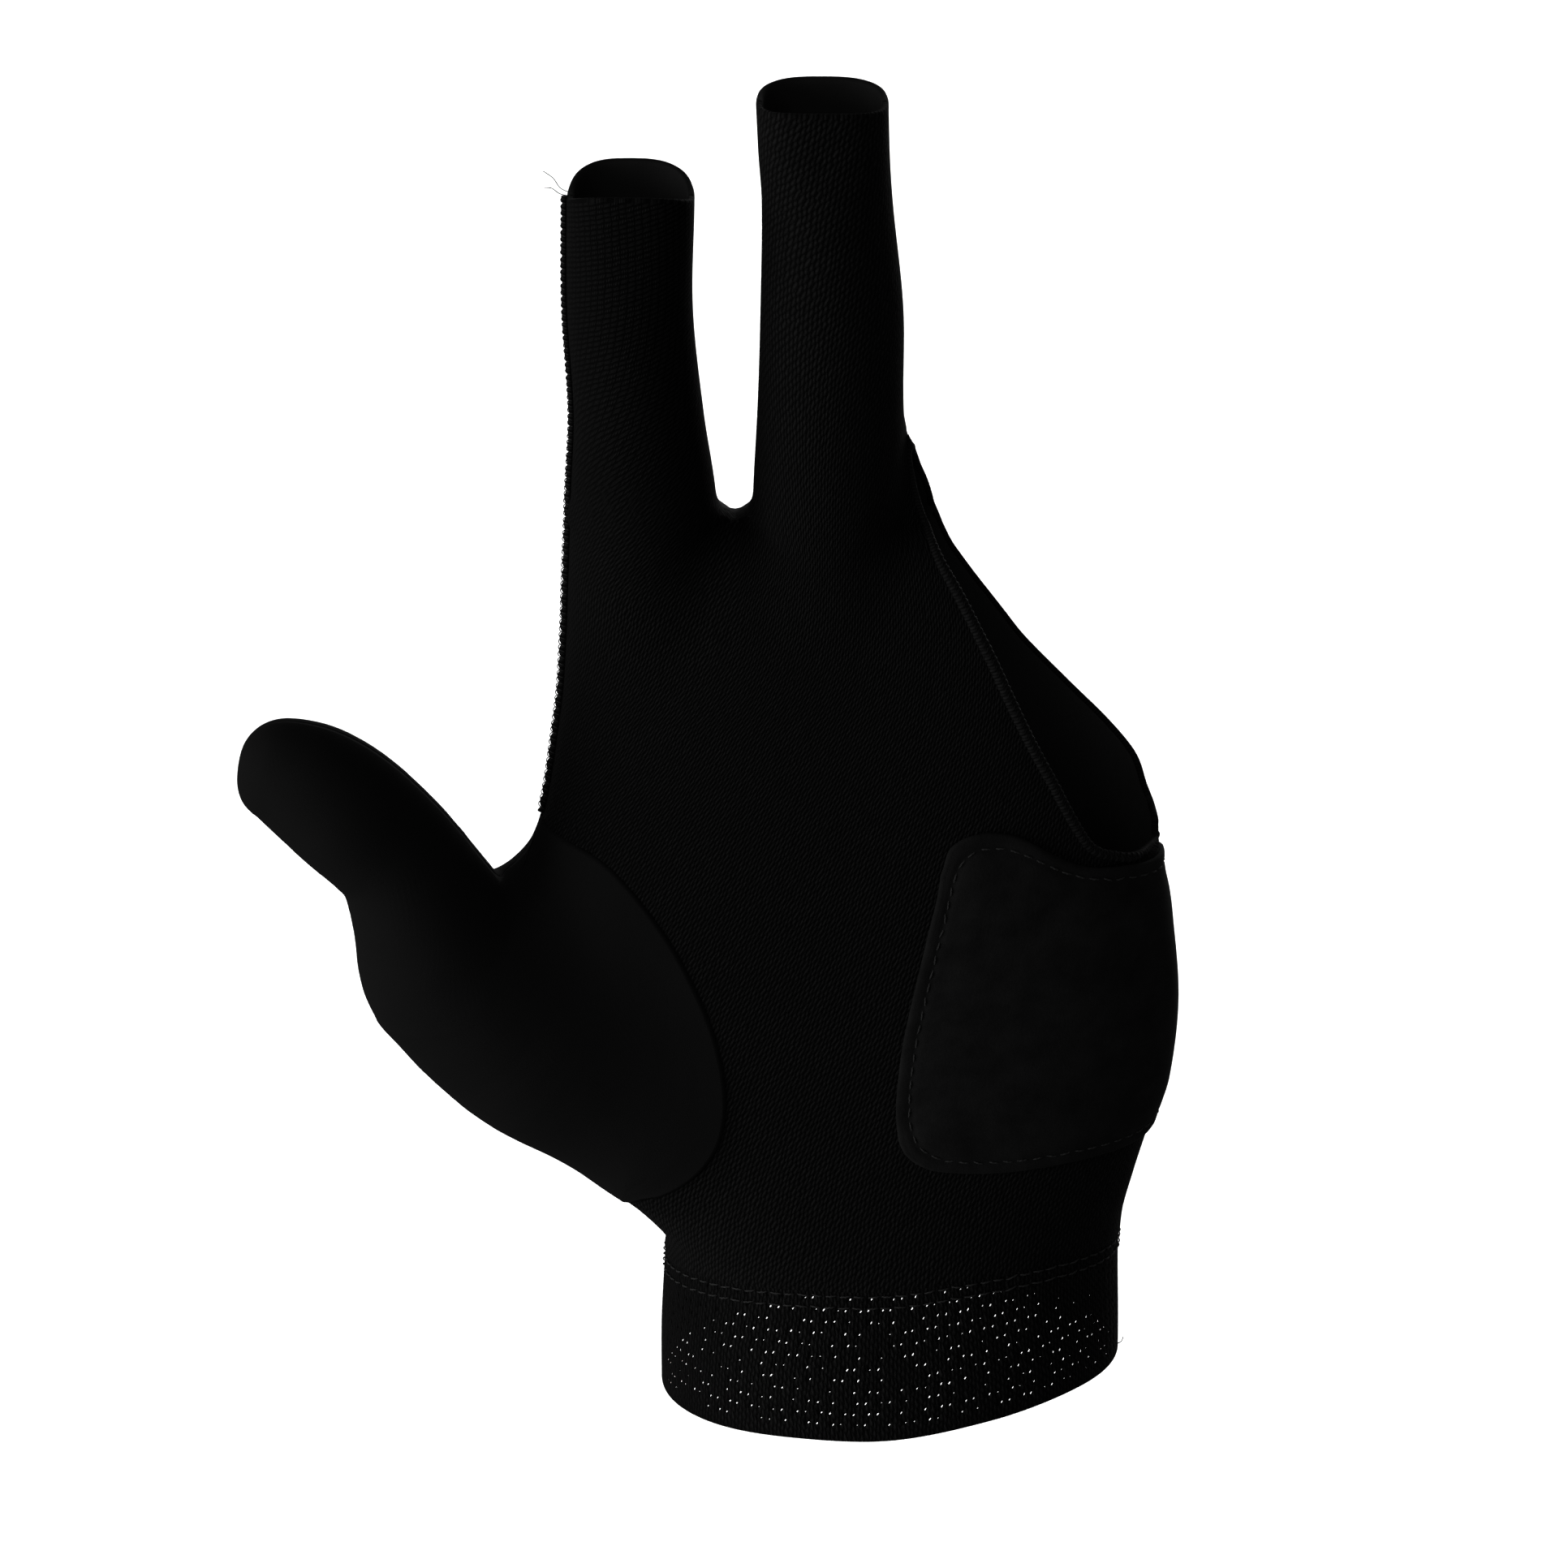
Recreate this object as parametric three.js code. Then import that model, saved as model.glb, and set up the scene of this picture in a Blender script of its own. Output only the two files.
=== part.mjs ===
// Billiard glove for the left hand, in the shape it has when it is worn, with the palm towards -Y and the fingers up.
// It has a closed thumb, open index and middle finger tubes, and one slanted opening for the ring and little fingers.
// Every piece is a thin wall that follows one smooth hand form. Millimetres, +Z up.
// The origin is the centre of the wrist opening, where the hand goes in.
import * as THREE from "three";
import { mergeVertices } from "three/addons/utils/BufferGeometryUtils.js";

// Wall thicknesses and clearances
const KNIT = 1.0;
const THUMB_SKIN = 1.4;
const THUMB_PROUD = 0.4;
const BAND_WALL = 1.1;
const PAD_WALL = 1.0;
const PAD_LIFT = 1.5;
const SEAM_GAP = 0.36;
const EDGE_GAP = 0.5;
const BINDING_RADIUS = 0.8;
const OVERLOCK_RADIUS = 0.55;
const OVERLOCK_LIFT = 0.92;

// Cross-sections of the hand form up the hand: the outline from the front, the depth to each side of the middle
// plane, and how square the section is (2 is an ellipse).
const HAND = [
  { z: -8, left: -34.8, right: 34.8, front: 25.5, back: 25.5, square: 2.2 },
  { z: 8, left: -34.8, right: 34.8, front: 25.0, back: 25.0, square: 2.2 },
  { z: 20, left: -34.2, right: 34.6, front: 23.0, back: 24.0, square: 2.25 },
  { z: 27, left: -35.2, right: 34.9, front: 22.2, back: 22.3, square: 2.35 },
  { z: 36, left: -41.0, right: 36.9, front: 21.5, back: 20.5, square: 2.5 },
  { z: 48, left: -47.0, right: 40.0, front: 21.0, back: 19.0, square: 2.6 },
  { z: 62, left: -54.0, right: 41.5, front: 20.0, back: 17.5, square: 2.6 },
  { z: 76, left: -58.4, right: 40.4, front: 18.5, back: 16.2, square: 2.6 },
  { z: 82, left: -55.7, right: 39.6, front: 18.0, back: 16.0, square: 2.6 },
  { z: 87, left: -52.2, right: 39.5, front: 17.5, back: 15.5, square: 2.6 },
  { z: 94, left: -50.4, right: 39.1, front: 16.5, back: 15.0, square: 2.6 },
  { z: 110, left: -48.6, right: 37.0, front: 15.0, back: 14.0, square: 2.5 },
  { z: 122, left: -46.6, right: 34.5, front: 13.2, back: 12.6, square: 2.4 },
  { z: 130, left: -45.5, right: 32.0, front: 11.0, back: 10.5, square: 2.4 },
  { z: 134, left: -45.0, right: 30.5, front: 8.6, back: 8.4, square: 2.4 },
  { z: 136.5, left: -44.5, right: 29.5, front: 5.5, back: 5.5, square: 2.4 },
  { z: 138, left: -44.0, right: 28.0, front: 2.0, back: 2.0, square: 2.4 },
];

const INDEX = [
  { z: 104, left: -44.0, right: -25.5, front: 7.0, back: 7.0, square: 2.1 },
  { z: 114, left: -46.4, right: -25.5, front: 9.0, back: 9.0, square: 2.1 },
  { z: 124, left: -47.2, right: -25.5, front: 10.6, back: 10.4, square: 2.1 },
  { z: 142, left: -47.1, right: -26.0, front: 10.4, back: 10.2, square: 2.1 },
  { z: 154, left: -46.6, right: -27.7, front: 10.0, back: 9.8, square: 2.1 },
  { z: 170, left: -47.4, right: -29.2, front: 9.7, back: 9.7, square: 2.1 },
  { z: 186, left: -47.3, right: -28.9, front: 9.8, back: 9.8, square: 2.4 },
  { z: 192, left: -47.2, right: -28.9, front: 9.9, back: 9.9, square: 2.5 },
];

const MIDDLE = [
  { z: 104, left: -20.0, right: 0.0, front: 7.0, back: 7.0, square: 2.1 },
  { z: 114, left: -20.5, right: 1.0, front: 9.0, back: 9.0, square: 2.1 },
  { z: 124, left: -21.0, right: 1.4, front: 10.9, back: 10.7, square: 2.1 },
  { z: 142, left: -20.6, right: 1.8, front: 10.8, back: 10.6, square: 2.1 },
  { z: 156, left: -19.9, right: 1.3, front: 10.3, back: 10.2, square: 2.1 },
  { z: 170, left: -19.5, right: 1.2, front: 10.0, back: 10.0, square: 2.1 },
  { z: 186, left: -19.3, right: -0.4, front: 9.8, back: 9.8, square: 2.1 },
  { z: 194, left: -19.8, right: -0.9, front: 9.6, back: 9.6, square: 2.3 },
  { z: 208, left: -20.4, right: -1.2, front: 9.6, back: 9.6, square: 2.4 },
];

// Balls that carry the thumb from its tip, and the ball of the thumb on to the heel of the hand
const THUMB = [
  { step: 0, x: -88.9, y: -13.0, z: 104.2, radius: 6.3 },
  { step: 1, x: -84.4, y: -13.0, z: 101.2, radius: 8.2 },
  { step: 2, x: -79.4, y: -13.0, z: 96.8, radius: 9.0 },
  { step: 3, x: -73.2, y: -12.0, z: 90.1, radius: 8.9 },
  { step: 4, x: -69.2, y: -10.5, z: 81.6, radius: 10.5 },
  { step: 5, x: -64.6, y: -9.0, z: 72.5, radius: 13.8 },
];

const THENAR = [
  { step: 0, x: -64.6, y: -9.0, z: 72.5, radius: 13.8 },
  { step: 1, x: -58.0, y: -7.0, z: 65.0, radius: 15.9 },
  { step: 2, x: -49.3, y: -5.5, z: 57.0, radius: 15.9 },
  { step: 3, x: -38.0, y: -4.0, z: 49.0, radius: 14.4 },
];

// How softly the parts of the form run into each other
const BLEND = { fingers: 2, knuckles: 4, thenar: 10, thumb: 1.5, balls: 0.8 };

// The line that each finger's strip of cloth is wrapped round, and the valley between the two strips
const INDEX_AXIS = [
  { z: 0, x: -20.0, y: 0 },
  { z: 60, x: -27.0, y: 0 },
  { z: 110, x: -36.0, y: 0 },
  { z: 140, x: -37.3, y: 0 },
  { z: 192, x: -38.7, y: 0 },
];

const MIDDLE_AXIS = [
  { z: 0, x: 15.0, y: 0 },
  { z: 60, x: 15.0, y: 0 },
  { z: 92, x: 12.0, y: 0 },
  { z: 110, x: -2.0, y: 0 },
  { z: 140, x: -9.4, y: 0 },
  { z: 208, x: -11.0, y: 0 },
];

const VALLEY = [
  { z: 0, x: -4.0 },
  { z: 60, x: -11.0 },
  { z: 110, x: -20.0 },
  { z: 140, x: -23.3 },
];

// Wrist: heights of the hem and of the sewn joint above it, by the angle round the wrist, where 0 is the little
// finger's side, 90 the palm and 180 the thumb's side
const WRIST = [
  { angle: -30, hem: 3.6, joint: 20.4 },
  { angle: 0, hem: 4.6, joint: 21.0 },
  { angle: 30, hem: 4.5, joint: 23.3 },
  { angle: 57, hem: 2.6, joint: 23.3 },
  { angle: 90, hem: 0.2, joint: 22.5 },
  { angle: 122, hem: -0.2, joint: 21.8 },
  { angle: 150, hem: -0.8, joint: 20.4 },
  { angle: 180, hem: -0.8, joint: 18.6 },
  { angle: 225, hem: 0.2, joint: 18.4 },
  { angle: 270, hem: 1.2, joint: 19.0 },
  { angle: 315, hem: 3.0, joint: 19.8 },
  { angle: 360, hem: 4.6, joint: 21.0 },
  { angle: 390, hem: 4.5, joint: 23.3 },
];
const WRIST_LEVEL_ABOVE = 34;

// Rims of the two finger tubes: height at the front and back, and how far the sides dip
const INDEX_RIM = { z: 189.2, dip: 2.6 };
const MIDDLE_RIM = { z: 201.6, dip: 0.9 };

// Edge of the thumb piece over the palm and over the back of the hand, from the web to the wrist. Each row is also
// one section of the thumb piece: the middle it is wrapped round, and the compass angle of its outer side.
const THUMB_BASE = [
  { z: 90.6, palmX: -52.6, backX: -52.6, x: -59.4, y: -7.6, midZ: 70.0, outer: -160 },
  { z: 90.1, palmX: -47.8, backX: -49.8, x: -59.0, y: -7.5, midZ: 69.2, outer: -157 },
  { z: 88.7, palmX: -43.8, backX: -47.4, x: -58.4, y: -7.3, midZ: 68.2, outer: -154 },
  { z: 86.4, palmX: -40.6, backX: -45.2, x: -57.6, y: -7.0, midZ: 67.0, outer: -150 },
  { z: 82.2, palmX: -36.7, backX: -42.4, x: -56.6, y: -6.7, midZ: 65.6, outer: -146 },
  { z: 77.0, palmX: -33.0, backX: -39.9, x: -55.2, y: -6.4, midZ: 64.0, outer: -142 },
  { z: 71.1, palmX: -29.9, backX: -38.2, x: -53.6, y: -6.1, midZ: 62.3, outer: -137 },
  { z: 64.6, palmX: -27.2, backX: -36.9, x: -51.6, y: -5.8, midZ: 60.3, outer: -132 },
  { z: 58.0, palmX: -25.6, backX: -36.0, x: -49.4, y: -5.5, midZ: 58.0, outer: -127 },
  { z: 52.2, palmX: -25.2, backX: -35.5, x: -47.2, y: -5.2, midZ: 55.4, outer: -121 },
  { z: 47.2, palmX: -26.0, backX: -35.4, x: -45.0, y: -4.9, midZ: 52.4, outer: -115 },
  { z: 43.2, palmX: -28.0, backX: -35.8, x: -43.0, y: -4.5, midZ: 49.4, outer: -109 },
  { z: 40.0, palmX: -30.8, backX: -36.6, x: -41.4, y: -4.0, midZ: 46.4, outer: -103 },
  { z: 37.2, palmX: -34.4, backX: -37.7, x: -40.2, y: -3.0, midZ: 43.2, outer: -99 },
  { z: 34.6, palmX: -38.4, backX: -39.0, x: -39.6, y: -1.8, midZ: 40.0, outer: -96 },
];

// Where the end of the thumb piece meets the side of the hand
const THUMB_FOOT = { z: 32.0, x: -40.4 };

// Sections of the free thumb, from the tip: the middle, the compass angles of its lower and upper sides, and how far
// the section leans over the tip (90 is the very end)
const THUMB_TUBE = [
  { x: -88.6, y: -13.0, z: 103.8, outer: -122, inner: 58, cap: 90 },
  { x: -88.6, y: -13.0, z: 103.8, outer: -122, inner: 58, cap: 66 },
  { x: -88.6, y: -13.0, z: 103.8, outer: -122, inner: 58, cap: 43 },
  { x: -88.6, y: -13.0, z: 103.8, outer: -122, inner: 58, cap: 20 },
  { x: -88.0, y: -13.0, z: 103.4, outer: -122, inner: 58, cap: 0 },
  { x: -84.4, y: -13.0, z: 101.0, outer: -122, inner: 56, cap: 0 },
  { x: -79.4, y: -13.0, z: 96.8, outer: -129, inner: 50, cap: 0 },
  { x: -75.6, y: -12.5, z: 93.0, outer: -137, inner: 42, cap: 0 },
  { x: -73.0, y: -12.0, z: 90.0, outer: -145, inner: 36, cap: 0 },
  { x: -70.8, y: -11.2, z: 86.6, outer: -152, inner: 33, cap: 0 },
  { x: -68.8, y: -10.5, z: 82.0, outer: -158, inner: 36, cap: 0 },
  { x: -67.0, y: -9.9, z: 78.4, outer: -162, inner: 43, cap: 0 },
];

// Sections over the web between the thumb and the hand, with the point each one reaches towards
const THUMB_WEB = [
  { x: -65.0, y: -9.3, z: 75.4, outer: -164, toX: -57.8, toY: -8.0, toZ: 84.4 },
  { x: -63.0, y: -8.8, z: 73.4, outer: -164, toX: -56.5, toY: -5.2, toZ: 84.9 },
  { x: -61.0, y: -8.2, z: 71.6, outer: -162, toX: -54.9, toY: -3.0, toZ: 86.1 },
  { x: -60.1, y: -7.9, z: 70.8, outer: -161, toX: -53.3, toY: -1.3, toZ: 88.0 },
];
const THUMB_TIP_ANGLE = 148;

// Line of the rolled edge of the opening for the ring and little fingers, over the palm and over the back of the hand
const PALM_HEM = [
  { z: 137.0, x: 4.5 },
  { z: 135.0, x: 5.6 },
  { z: 130.0, x: 8.3 },
  { z: 124.2, x: 11.5 },
  { z: 119.5, x: 14.0 },
  { z: 114.6, x: 16.3 },
  { z: 107.6, x: 19.9 },
  { z: 100.7, x: 23.5 },
  { z: 96.5, x: 25.6 },
  { z: 92.6, x: 27.8 },
  { z: 90.6, x: 29.4 },
  { z: 89.4, x: 31.6 },
  { z: 88.5, x: 34.8 },
  { z: 87.9, x: 37.4 },
];

const BACK_HEM = [
  { z: 137.0, x: 5.2 },
  { z: 135.0, x: 6.0 },
  { z: 130.0, x: 8.5 },
  { z: 124.2, x: 12.4 },
  { z: 119.5, x: 15.8 },
  { z: 114.6, x: 19.5 },
  { z: 107.6, x: 26.4 },
  { z: 102.0, x: 32.5 },
  { z: 98.0, x: 36.2 },
  { z: 93.6, x: 37.9 },
];

// The same edge beside the root of the middle finger, where its two ends lie side by side
const HEM_TOP = [
  { z: 148.6, x: 2.75, aside: 1.0 },
  { z: 144.6, x: 2.95, aside: 1.0 },
  { z: 141.4, x: 3.7, aside: 1.3 },
  { z: 138.9, x: 4.6, aside: 2.6 },
];
const TUBE_CLOSED_ABOVE = 141.5;

// Where the opening's edge meets the side of the hand, and how far the cloth keeps back from its line
const HEM_FOOT = { z: 87.4 };
const HEM_SETBACK = BINDING_RADIUS + EDGE_GAP;

// Four sides of the heel pad on the hand, by the angle round the middle strip's line, from the thumb's side over the
// palm to the back, and by height. `share` runs from 0 to 1 along each side.
const PAD_BOTTOM = [
  { share: 0, angle: 58.0, z: 45.8 },
  { share: 0.1, angle: 68.0, z: 43.2 },
  { share: 0.25, angle: 90.0, z: 42.5 },
  { share: 0.5, angle: 128.0, z: 43.2 },
  { share: 0.75, angle: 162.0, z: 44.0 },
  { share: 0.9, angle: 188.0, z: 45.2 },
  { share: 1, angle: 200.0, z: 47.8 },
];

const PAD_TOP = [
  { share: 0, angle: 71.0, z: 88.2 },
  { share: 0.1, angle: 79.0, z: 92.2 },
  { share: 0.24, angle: 97.0, z: 94.0 },
  { share: 0.36, angle: 112.0, z: 93.4 },
  { share: 0.5, angle: 126.0, z: 90.2 },
  { share: 0.62, angle: 138.0, z: 87.8 },
  { share: 0.75, angle: 157.0, z: 86.7 },
  { share: 0.9, angle: 183.0, z: 85.4 },
  { share: 1, angle: 198.0, z: 82.6 },
];

const PAD_LEFT = [
  { share: 0, angle: 58.0, z: 45.8 },
  { share: 0.25, angle: 55.6, z: 54.0 },
  { share: 0.5, angle: 57.6, z: 66.0 },
  { share: 0.75, angle: 62.5, z: 78.0 },
  { share: 1, angle: 71.0, z: 88.2 },
];

const PAD_RIGHT = [
  { share: 0, angle: 200.0, z: 47.8 },
  { share: 0.25, angle: 207.5, z: 55.0 },
  { share: 0.5, angle: 210.0, z: 65.0 },
  { share: 0.75, angle: 207.5, z: 75.0 },
  { share: 1, angle: 198.0, z: 82.6 },
];

// Mesh fineness
const INDEX_COLUMNS = 8;
const MIDDLE_COLUMNS = 11;
const THUMB_COLUMNS = 9;
const BAND_COLUMNS = 40;
const PAD_COLUMNS = 18;
const PAD_ROWS = 9;
const BINDING_STEPS = 54;
const OVERLOCK_STEPS = 22;
const CORD_SIDES = 6;
const CHAIN_FINENESS = 3;

const PALM_SIDE = -1;
const BACK_SIDE = 1;

// Value of a column of a table at `at`, on a cubic curve through its rows, which are sorted by the column `key`.
function along(rows, key, column, at) {
  const rising = rows[rows.length - 1][key] > rows[0][key];
  const row = (i) => (rising ? rows[i] : rows[rows.length - 1 - i]);
  const last = rows.length - 1;
  const t = Math.min(Math.max(at, row(0)[key]), row(last)[key]);
  let i = 0;
  while (i < last - 1 && t > row(i + 1)[key]) i++;
  const slope = (j) => {
    const before = row(Math.max(j - 1, 0));
    const after = row(Math.min(j + 1, last));
    return (after[column] - before[column]) / (after[key] - before[key]);
  };
  const width = row(i + 1)[key] - row(i)[key];
  const s = (t - row(i)[key]) / width;
  const from = row(i)[column] * (1 + 2 * s) * (1 - s) ** 2;
  const to = row(i + 1)[column] * s * s * (3 - 2 * s);
  const leave = slope(i) * width * s * (1 - s) ** 2;
  const arrive = slope(i + 1) * width * s * s * (s - 1);
  return from + to + leave + arrive;
}

// Rows of a table with every column interpolated, `count` steps between one row and the next.
function refined(rows, key, count) {
  const made = [];
  for (let i = 0; i < rows.length - 1; i++) {
    for (let j = 0; j < count; j++) {
      const at = THREE.MathUtils.lerp(rows[i][key], rows[i + 1][key], j / count);
      const row = { [key]: at };
      for (const column of Object.keys(rows[0])) {
        if (column !== key) row[column] = along(rows, key, column, at);
      }
      made.push(row);
    }
  }
  made.push(rows[rows.length - 1]);
  return made;
}

// Distance to an upright tube whose sections are rounded rectangles, true to first order near its wall.
function tubeDistance(rows, p) {
  const at = (column) => along(rows, "z", column, p.z);
  const halfWidth = (at("right") - at("left")) / 2;
  const halfDepth = (at("front") + at("back")) / 2;
  const n = at("square");
  const u = Math.abs(p.x - (at("left") + at("right")) / 2) / halfWidth + 1e-9;
  const v = Math.abs(p.y - (at("back") - at("front")) / 2) / halfDepth + 1e-9;
  const f = (u ** n + v ** n) ** (1 / n);
  const slope = f ** (1 - n) * Math.hypot(u ** (n - 1) / halfWidth, v ** (n - 1) / halfDepth);
  return Math.max((f - 1) / slope, rows[0].z - p.z, p.z - rows[rows.length - 1].z);
}

// Distance to the skin stretched over two balls.
function twoBallDistance(a, b, p) {
  const axis = new THREE.Vector3().subVectors(b, a);
  const length = axis.length();
  axis.normalize();
  const local = new THREE.Vector3().subVectors(p, a);
  const w = local.dot(axis);
  const away = local.addScaledVector(axis, -w).length();
  const lean = (a.radius - b.radius) / length;
  const foot = (w + (away * lean) / Math.sqrt(Math.max(1 - lean * lean, 1e-3))) / length;
  const s = Math.min(Math.max(foot, 0), 1);
  return Math.hypot(away, w - s * length) - THREE.MathUtils.lerp(a.radius, b.radius, s);
}

// Smaller of two distances, rounded over `softness` millimetres where they are alike.
function softMin(a, b, softness) {
  const h = Math.max(softness - Math.abs(a - b), 0) / softness;
  return Math.min(a, b) - (h * h * softness) / 4;
}

function ballChain(rows) {
  return refined(rows, "step", CHAIN_FINENESS).map((row) =>
    Object.assign(new THREE.Vector3(row.x, row.y, row.z), { radius: row.radius }),
  );
}

const THUMB_BALLS = ballChain(THUMB);
const THENAR_BALLS = ballChain(THENAR);

function chainDistance(balls, p) {
  let d = twoBallDistance(balls[0], balls[1], p);
  for (let i = 1; i < balls.length - 1; i++) {
    d = softMin(d, twoBallDistance(balls[i], balls[i + 1], p), BLEND.balls);
  }
  return d;
}

// Distance to the hand form: below zero inside the glove, zero on the cloth's outer face.
function handForm(p) {
  const palm = softMin(tubeDistance(HAND, p), chainDistance(THENAR_BALLS, p), BLEND.thenar);
  const fingers = softMin(tubeDistance(INDEX, p), tubeDistance(MIDDLE, p), BLEND.fingers);
  const hand = softMin(palm, fingers, BLEND.knuckles);
  return softMin(hand, chainDistance(THUMB_BALLS, p), BLEND.thumb);
}

// Outward direction of the form at a point.
function outward(p) {
  const h = 0.05;
  const slope = (axis) => {
    const ahead = p.clone();
    const behind = p.clone();
    ahead[axis] += h;
    behind[axis] -= h;
    return handForm(ahead) - handForm(behind);
  };
  return new THREE.Vector3(slope("x"), slope("y"), slope("z")).normalize();
}

// First point on the form from a point inside it, in a given direction: steps out, then halves the last step.
function skinPoint(from, direction) {
  const step = 1.2;
  const at = (distance) => new THREE.Vector3().copy(from).addScaledVector(direction, distance);
  let inside = 0;
  while (handForm(at(inside + step)) < 0 && inside < 90) inside += step;
  let outside = inside + step;
  for (let i = 0; i < 14; i++) {
    const middle = (inside + outside) / 2;
    if (handForm(at(middle)) < 0) inside = middle;
    else outside = middle;
  }
  return at((inside + outside) / 2);
}

// Point on the form straight in front of or behind the middle plane.
function facePoint(x, z, side) {
  return skinPoint(new THREE.Vector3(x, 0, z), new THREE.Vector3(0, side, 0));
}

// A closed wall: `rows` is a grid of points on the form, moved out by `lift`, with its inner face `thickness` deeper.
// Points that coincide, as at a pole, are merged.
function wall(patches, lift, thickness, side) {
  const outer = [];
  const inner = [];
  const faces = [];
  const known = new Map();
  const vertex = (p) => {
    const key = [p.x, p.y, p.z].map((c) => Math.round(c * 1000)).join();
    if (!known.has(key)) {
      const n = outward(p);
      const shift = new THREE.Vector3(0, (side * SEAM_GAP) / 2, 0);
      known.set(key, outer.length);
      outer.push(p.clone().addScaledVector(n, lift).add(shift));
      inner.push(p.clone().addScaledVector(n, lift - thickness).add(shift));
    }
    return known.get(key);
  };
  const add = (...corners) => {
    const ring = corners.filter((c, i) => c !== corners[(i + 1) % corners.length]);
    if (ring.length > 2) faces.push([ring[0], ring[1], ring[2]]);
    if (ring.length > 3) faces.push([ring[0], ring[2], ring[3]]);
  };
  for (const rows of patches) {
    for (let i = 0; i < rows.length - 1; i++) {
      for (let j = 0; j < rows[i].length - 1; j++) {
        const quad = [rows[i][j], rows[i][j + 1], rows[i + 1][j + 1], rows[i + 1][j]];
        add(...quad.map(vertex));
      }
    }
  }
  const edges = new Map();
  for (const [a, b, c] of faces) {
    for (const [s, e] of [[a, b], [b, c], [c, a]]) edges.set(s + "," + e, [s, e]);
  }
  const count = outer.length;
  const index = [];
  for (const [a, b, c] of faces) index.push(a, b, c, count + a, count + c, count + b);
  for (const [s, e] of edges.values()) {
    if (edges.has(e + "," + s)) continue;
    index.push(s, count + e, e, s, count + s, count + e);
  }
  const positions = [...outer, ...inner].flatMap((p) => p.toArray());
  const geometry = new THREE.BufferGeometry();
  geometry.setAttribute("position", new THREE.Float32BufferAttribute(positions, 3));
  geometry.setIndex(index);
  return facingOut(geometry);
}

// Turns every face round if the closed mesh is inside out.
function facingOut(geometry) {
  const position = geometry.getAttribute("position");
  const corner = (i) => new THREE.Vector3().fromBufferAttribute(position, geometry.index.getX(i));
  let volume = 0;
  for (let i = 0; i < geometry.index.count; i += 3) {
    volume += corner(i).dot(corner(i + 1).cross(corner(i + 2)));
  }
  if (volume < 0) {
    for (let i = 0; i < geometry.index.count; i += 3) {
      const second = geometry.index.getX(i + 1);
      geometry.index.setX(i + 1, geometry.index.getX(i + 2));
      geometry.index.setX(i + 2, second);
    }
  }
  return geometry;
}

// Direction from a strip's line at an angle, where 0 is the thumb's side, 90 the palm or back, 180 the far side.
function roundTheLine(angle, side) {
  return new THREE.Vector3(-Math.cos(angle), side * Math.sin(angle), 0);
}

function lineAt(axis, z) {
  return new THREE.Vector3(along(axis, "z", "x", z), along(axis, "z", "y", z), z);
}

// Angle at which a strip's line sees the point of the palm or back that lies at (x, z).
function angleOf(axis, x, z, side) {
  const from = lineAt(axis, z);
  const face = facePoint(x, z, side);
  return Math.atan2(Math.abs(face.y - from.y), from.x - face.x);
}

// Height of the valley between the two fingers, where its front and back meet.
function crotchHeight() {
  let low = 120;
  let high = 160;
  for (let i = 0; i < 24; i++) {
    const middle = (low + high) / 2;
    const inside = handForm(new THREE.Vector3(along(VALLEY, "z", "x", middle), 0, middle)) < 0;
    if (inside) low = middle;
    else high = middle;
  }
  return low;
}

const CROTCH_Z = crotchHeight();

// Distance in the picture plane from (x, z) to a line through the rows of a table.
function lineDistance(rows, x, z) {
  let nearest = Infinity;
  for (let i = 0; i < rows.length - 1; i++) {
    const a = new THREE.Vector3(rows[i].x, 0, rows[i].z);
    const b = new THREE.Vector3(rows[i + 1].x, 0, rows[i + 1].z);
    const spot = new THREE.Vector3(x, 0, z);
    const closest = new THREE.Line3(a, b).closestPointToPoint(spot, true, new THREE.Vector3());
    nearest = Math.min(nearest, closest.distanceTo(spot));
  }
  return nearest;
}

// Going along one level from `from` towards `to`, the last x that keeps clear of a line, or null if nothing is met.
function clearOf(rows, z, from, to, clearance) {
  const steps = 400;
  for (let i = 1; i <= steps; i++) {
    if (lineDistance(rows, THREE.MathUtils.lerp(from, to, i / steps), z) < clearance) {
      return THREE.MathUtils.lerp(from, to, (i - 1) / steps);
    }
  }
  return null;
}

function hemLine(side) {
  const hem = side === PALM_SIDE ? PALM_HEM : BACK_HEM;
  return [...hem, { z: HEM_FOOT.z, x: 40 }];
}

function thumbEdge(side) {
  const column = side === PALM_SIDE ? "palmX" : "backX";
  return [...THUMB_BASE.map((row) => ({ z: row.z, x: row[column] })), THUMB_FOOT];
}

// Angle at which the index strip starts: the side seam, or lower down the edge of the thumb piece.
function stripStart(z, side) {
  const x = clearOf(thumbEdge(side), z, along(VALLEY, "z", "x", z), -60, EDGE_GAP);
  return x === null ? 0 : angleOf(INDEX_AXIS, x, z, side);
}

// Angle at which the middle strip ends: the far side seam, or the edge of the opening.
function stripEnd(z, side) {
  const line = hemLine(side);
  if (z >= TUBE_CLOSED_ABOVE) return Math.PI;
  const level = Math.min(z, line[0].z);
  const x = clearOf(line, level, along(VALLEY, "z", "x", level), 42, HEM_SETBACK);
  if (x === null) return Math.PI;
  const closing = THREE.MathUtils.smoothstep(z, line[0].z, TUBE_CLOSED_ABOVE);
  return THREE.MathUtils.lerp(angleOf(MIDDLE_AXIS, x, level, side), Math.PI, closing);
}

// Angle of a point round the wrist, in degrees from 0 to 360.
function wristAngle(p) {
  return THREE.MathUtils.radToDeg(Math.atan2(-p.y, p.x) + 2 * Math.PI) % 360;
}

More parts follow.
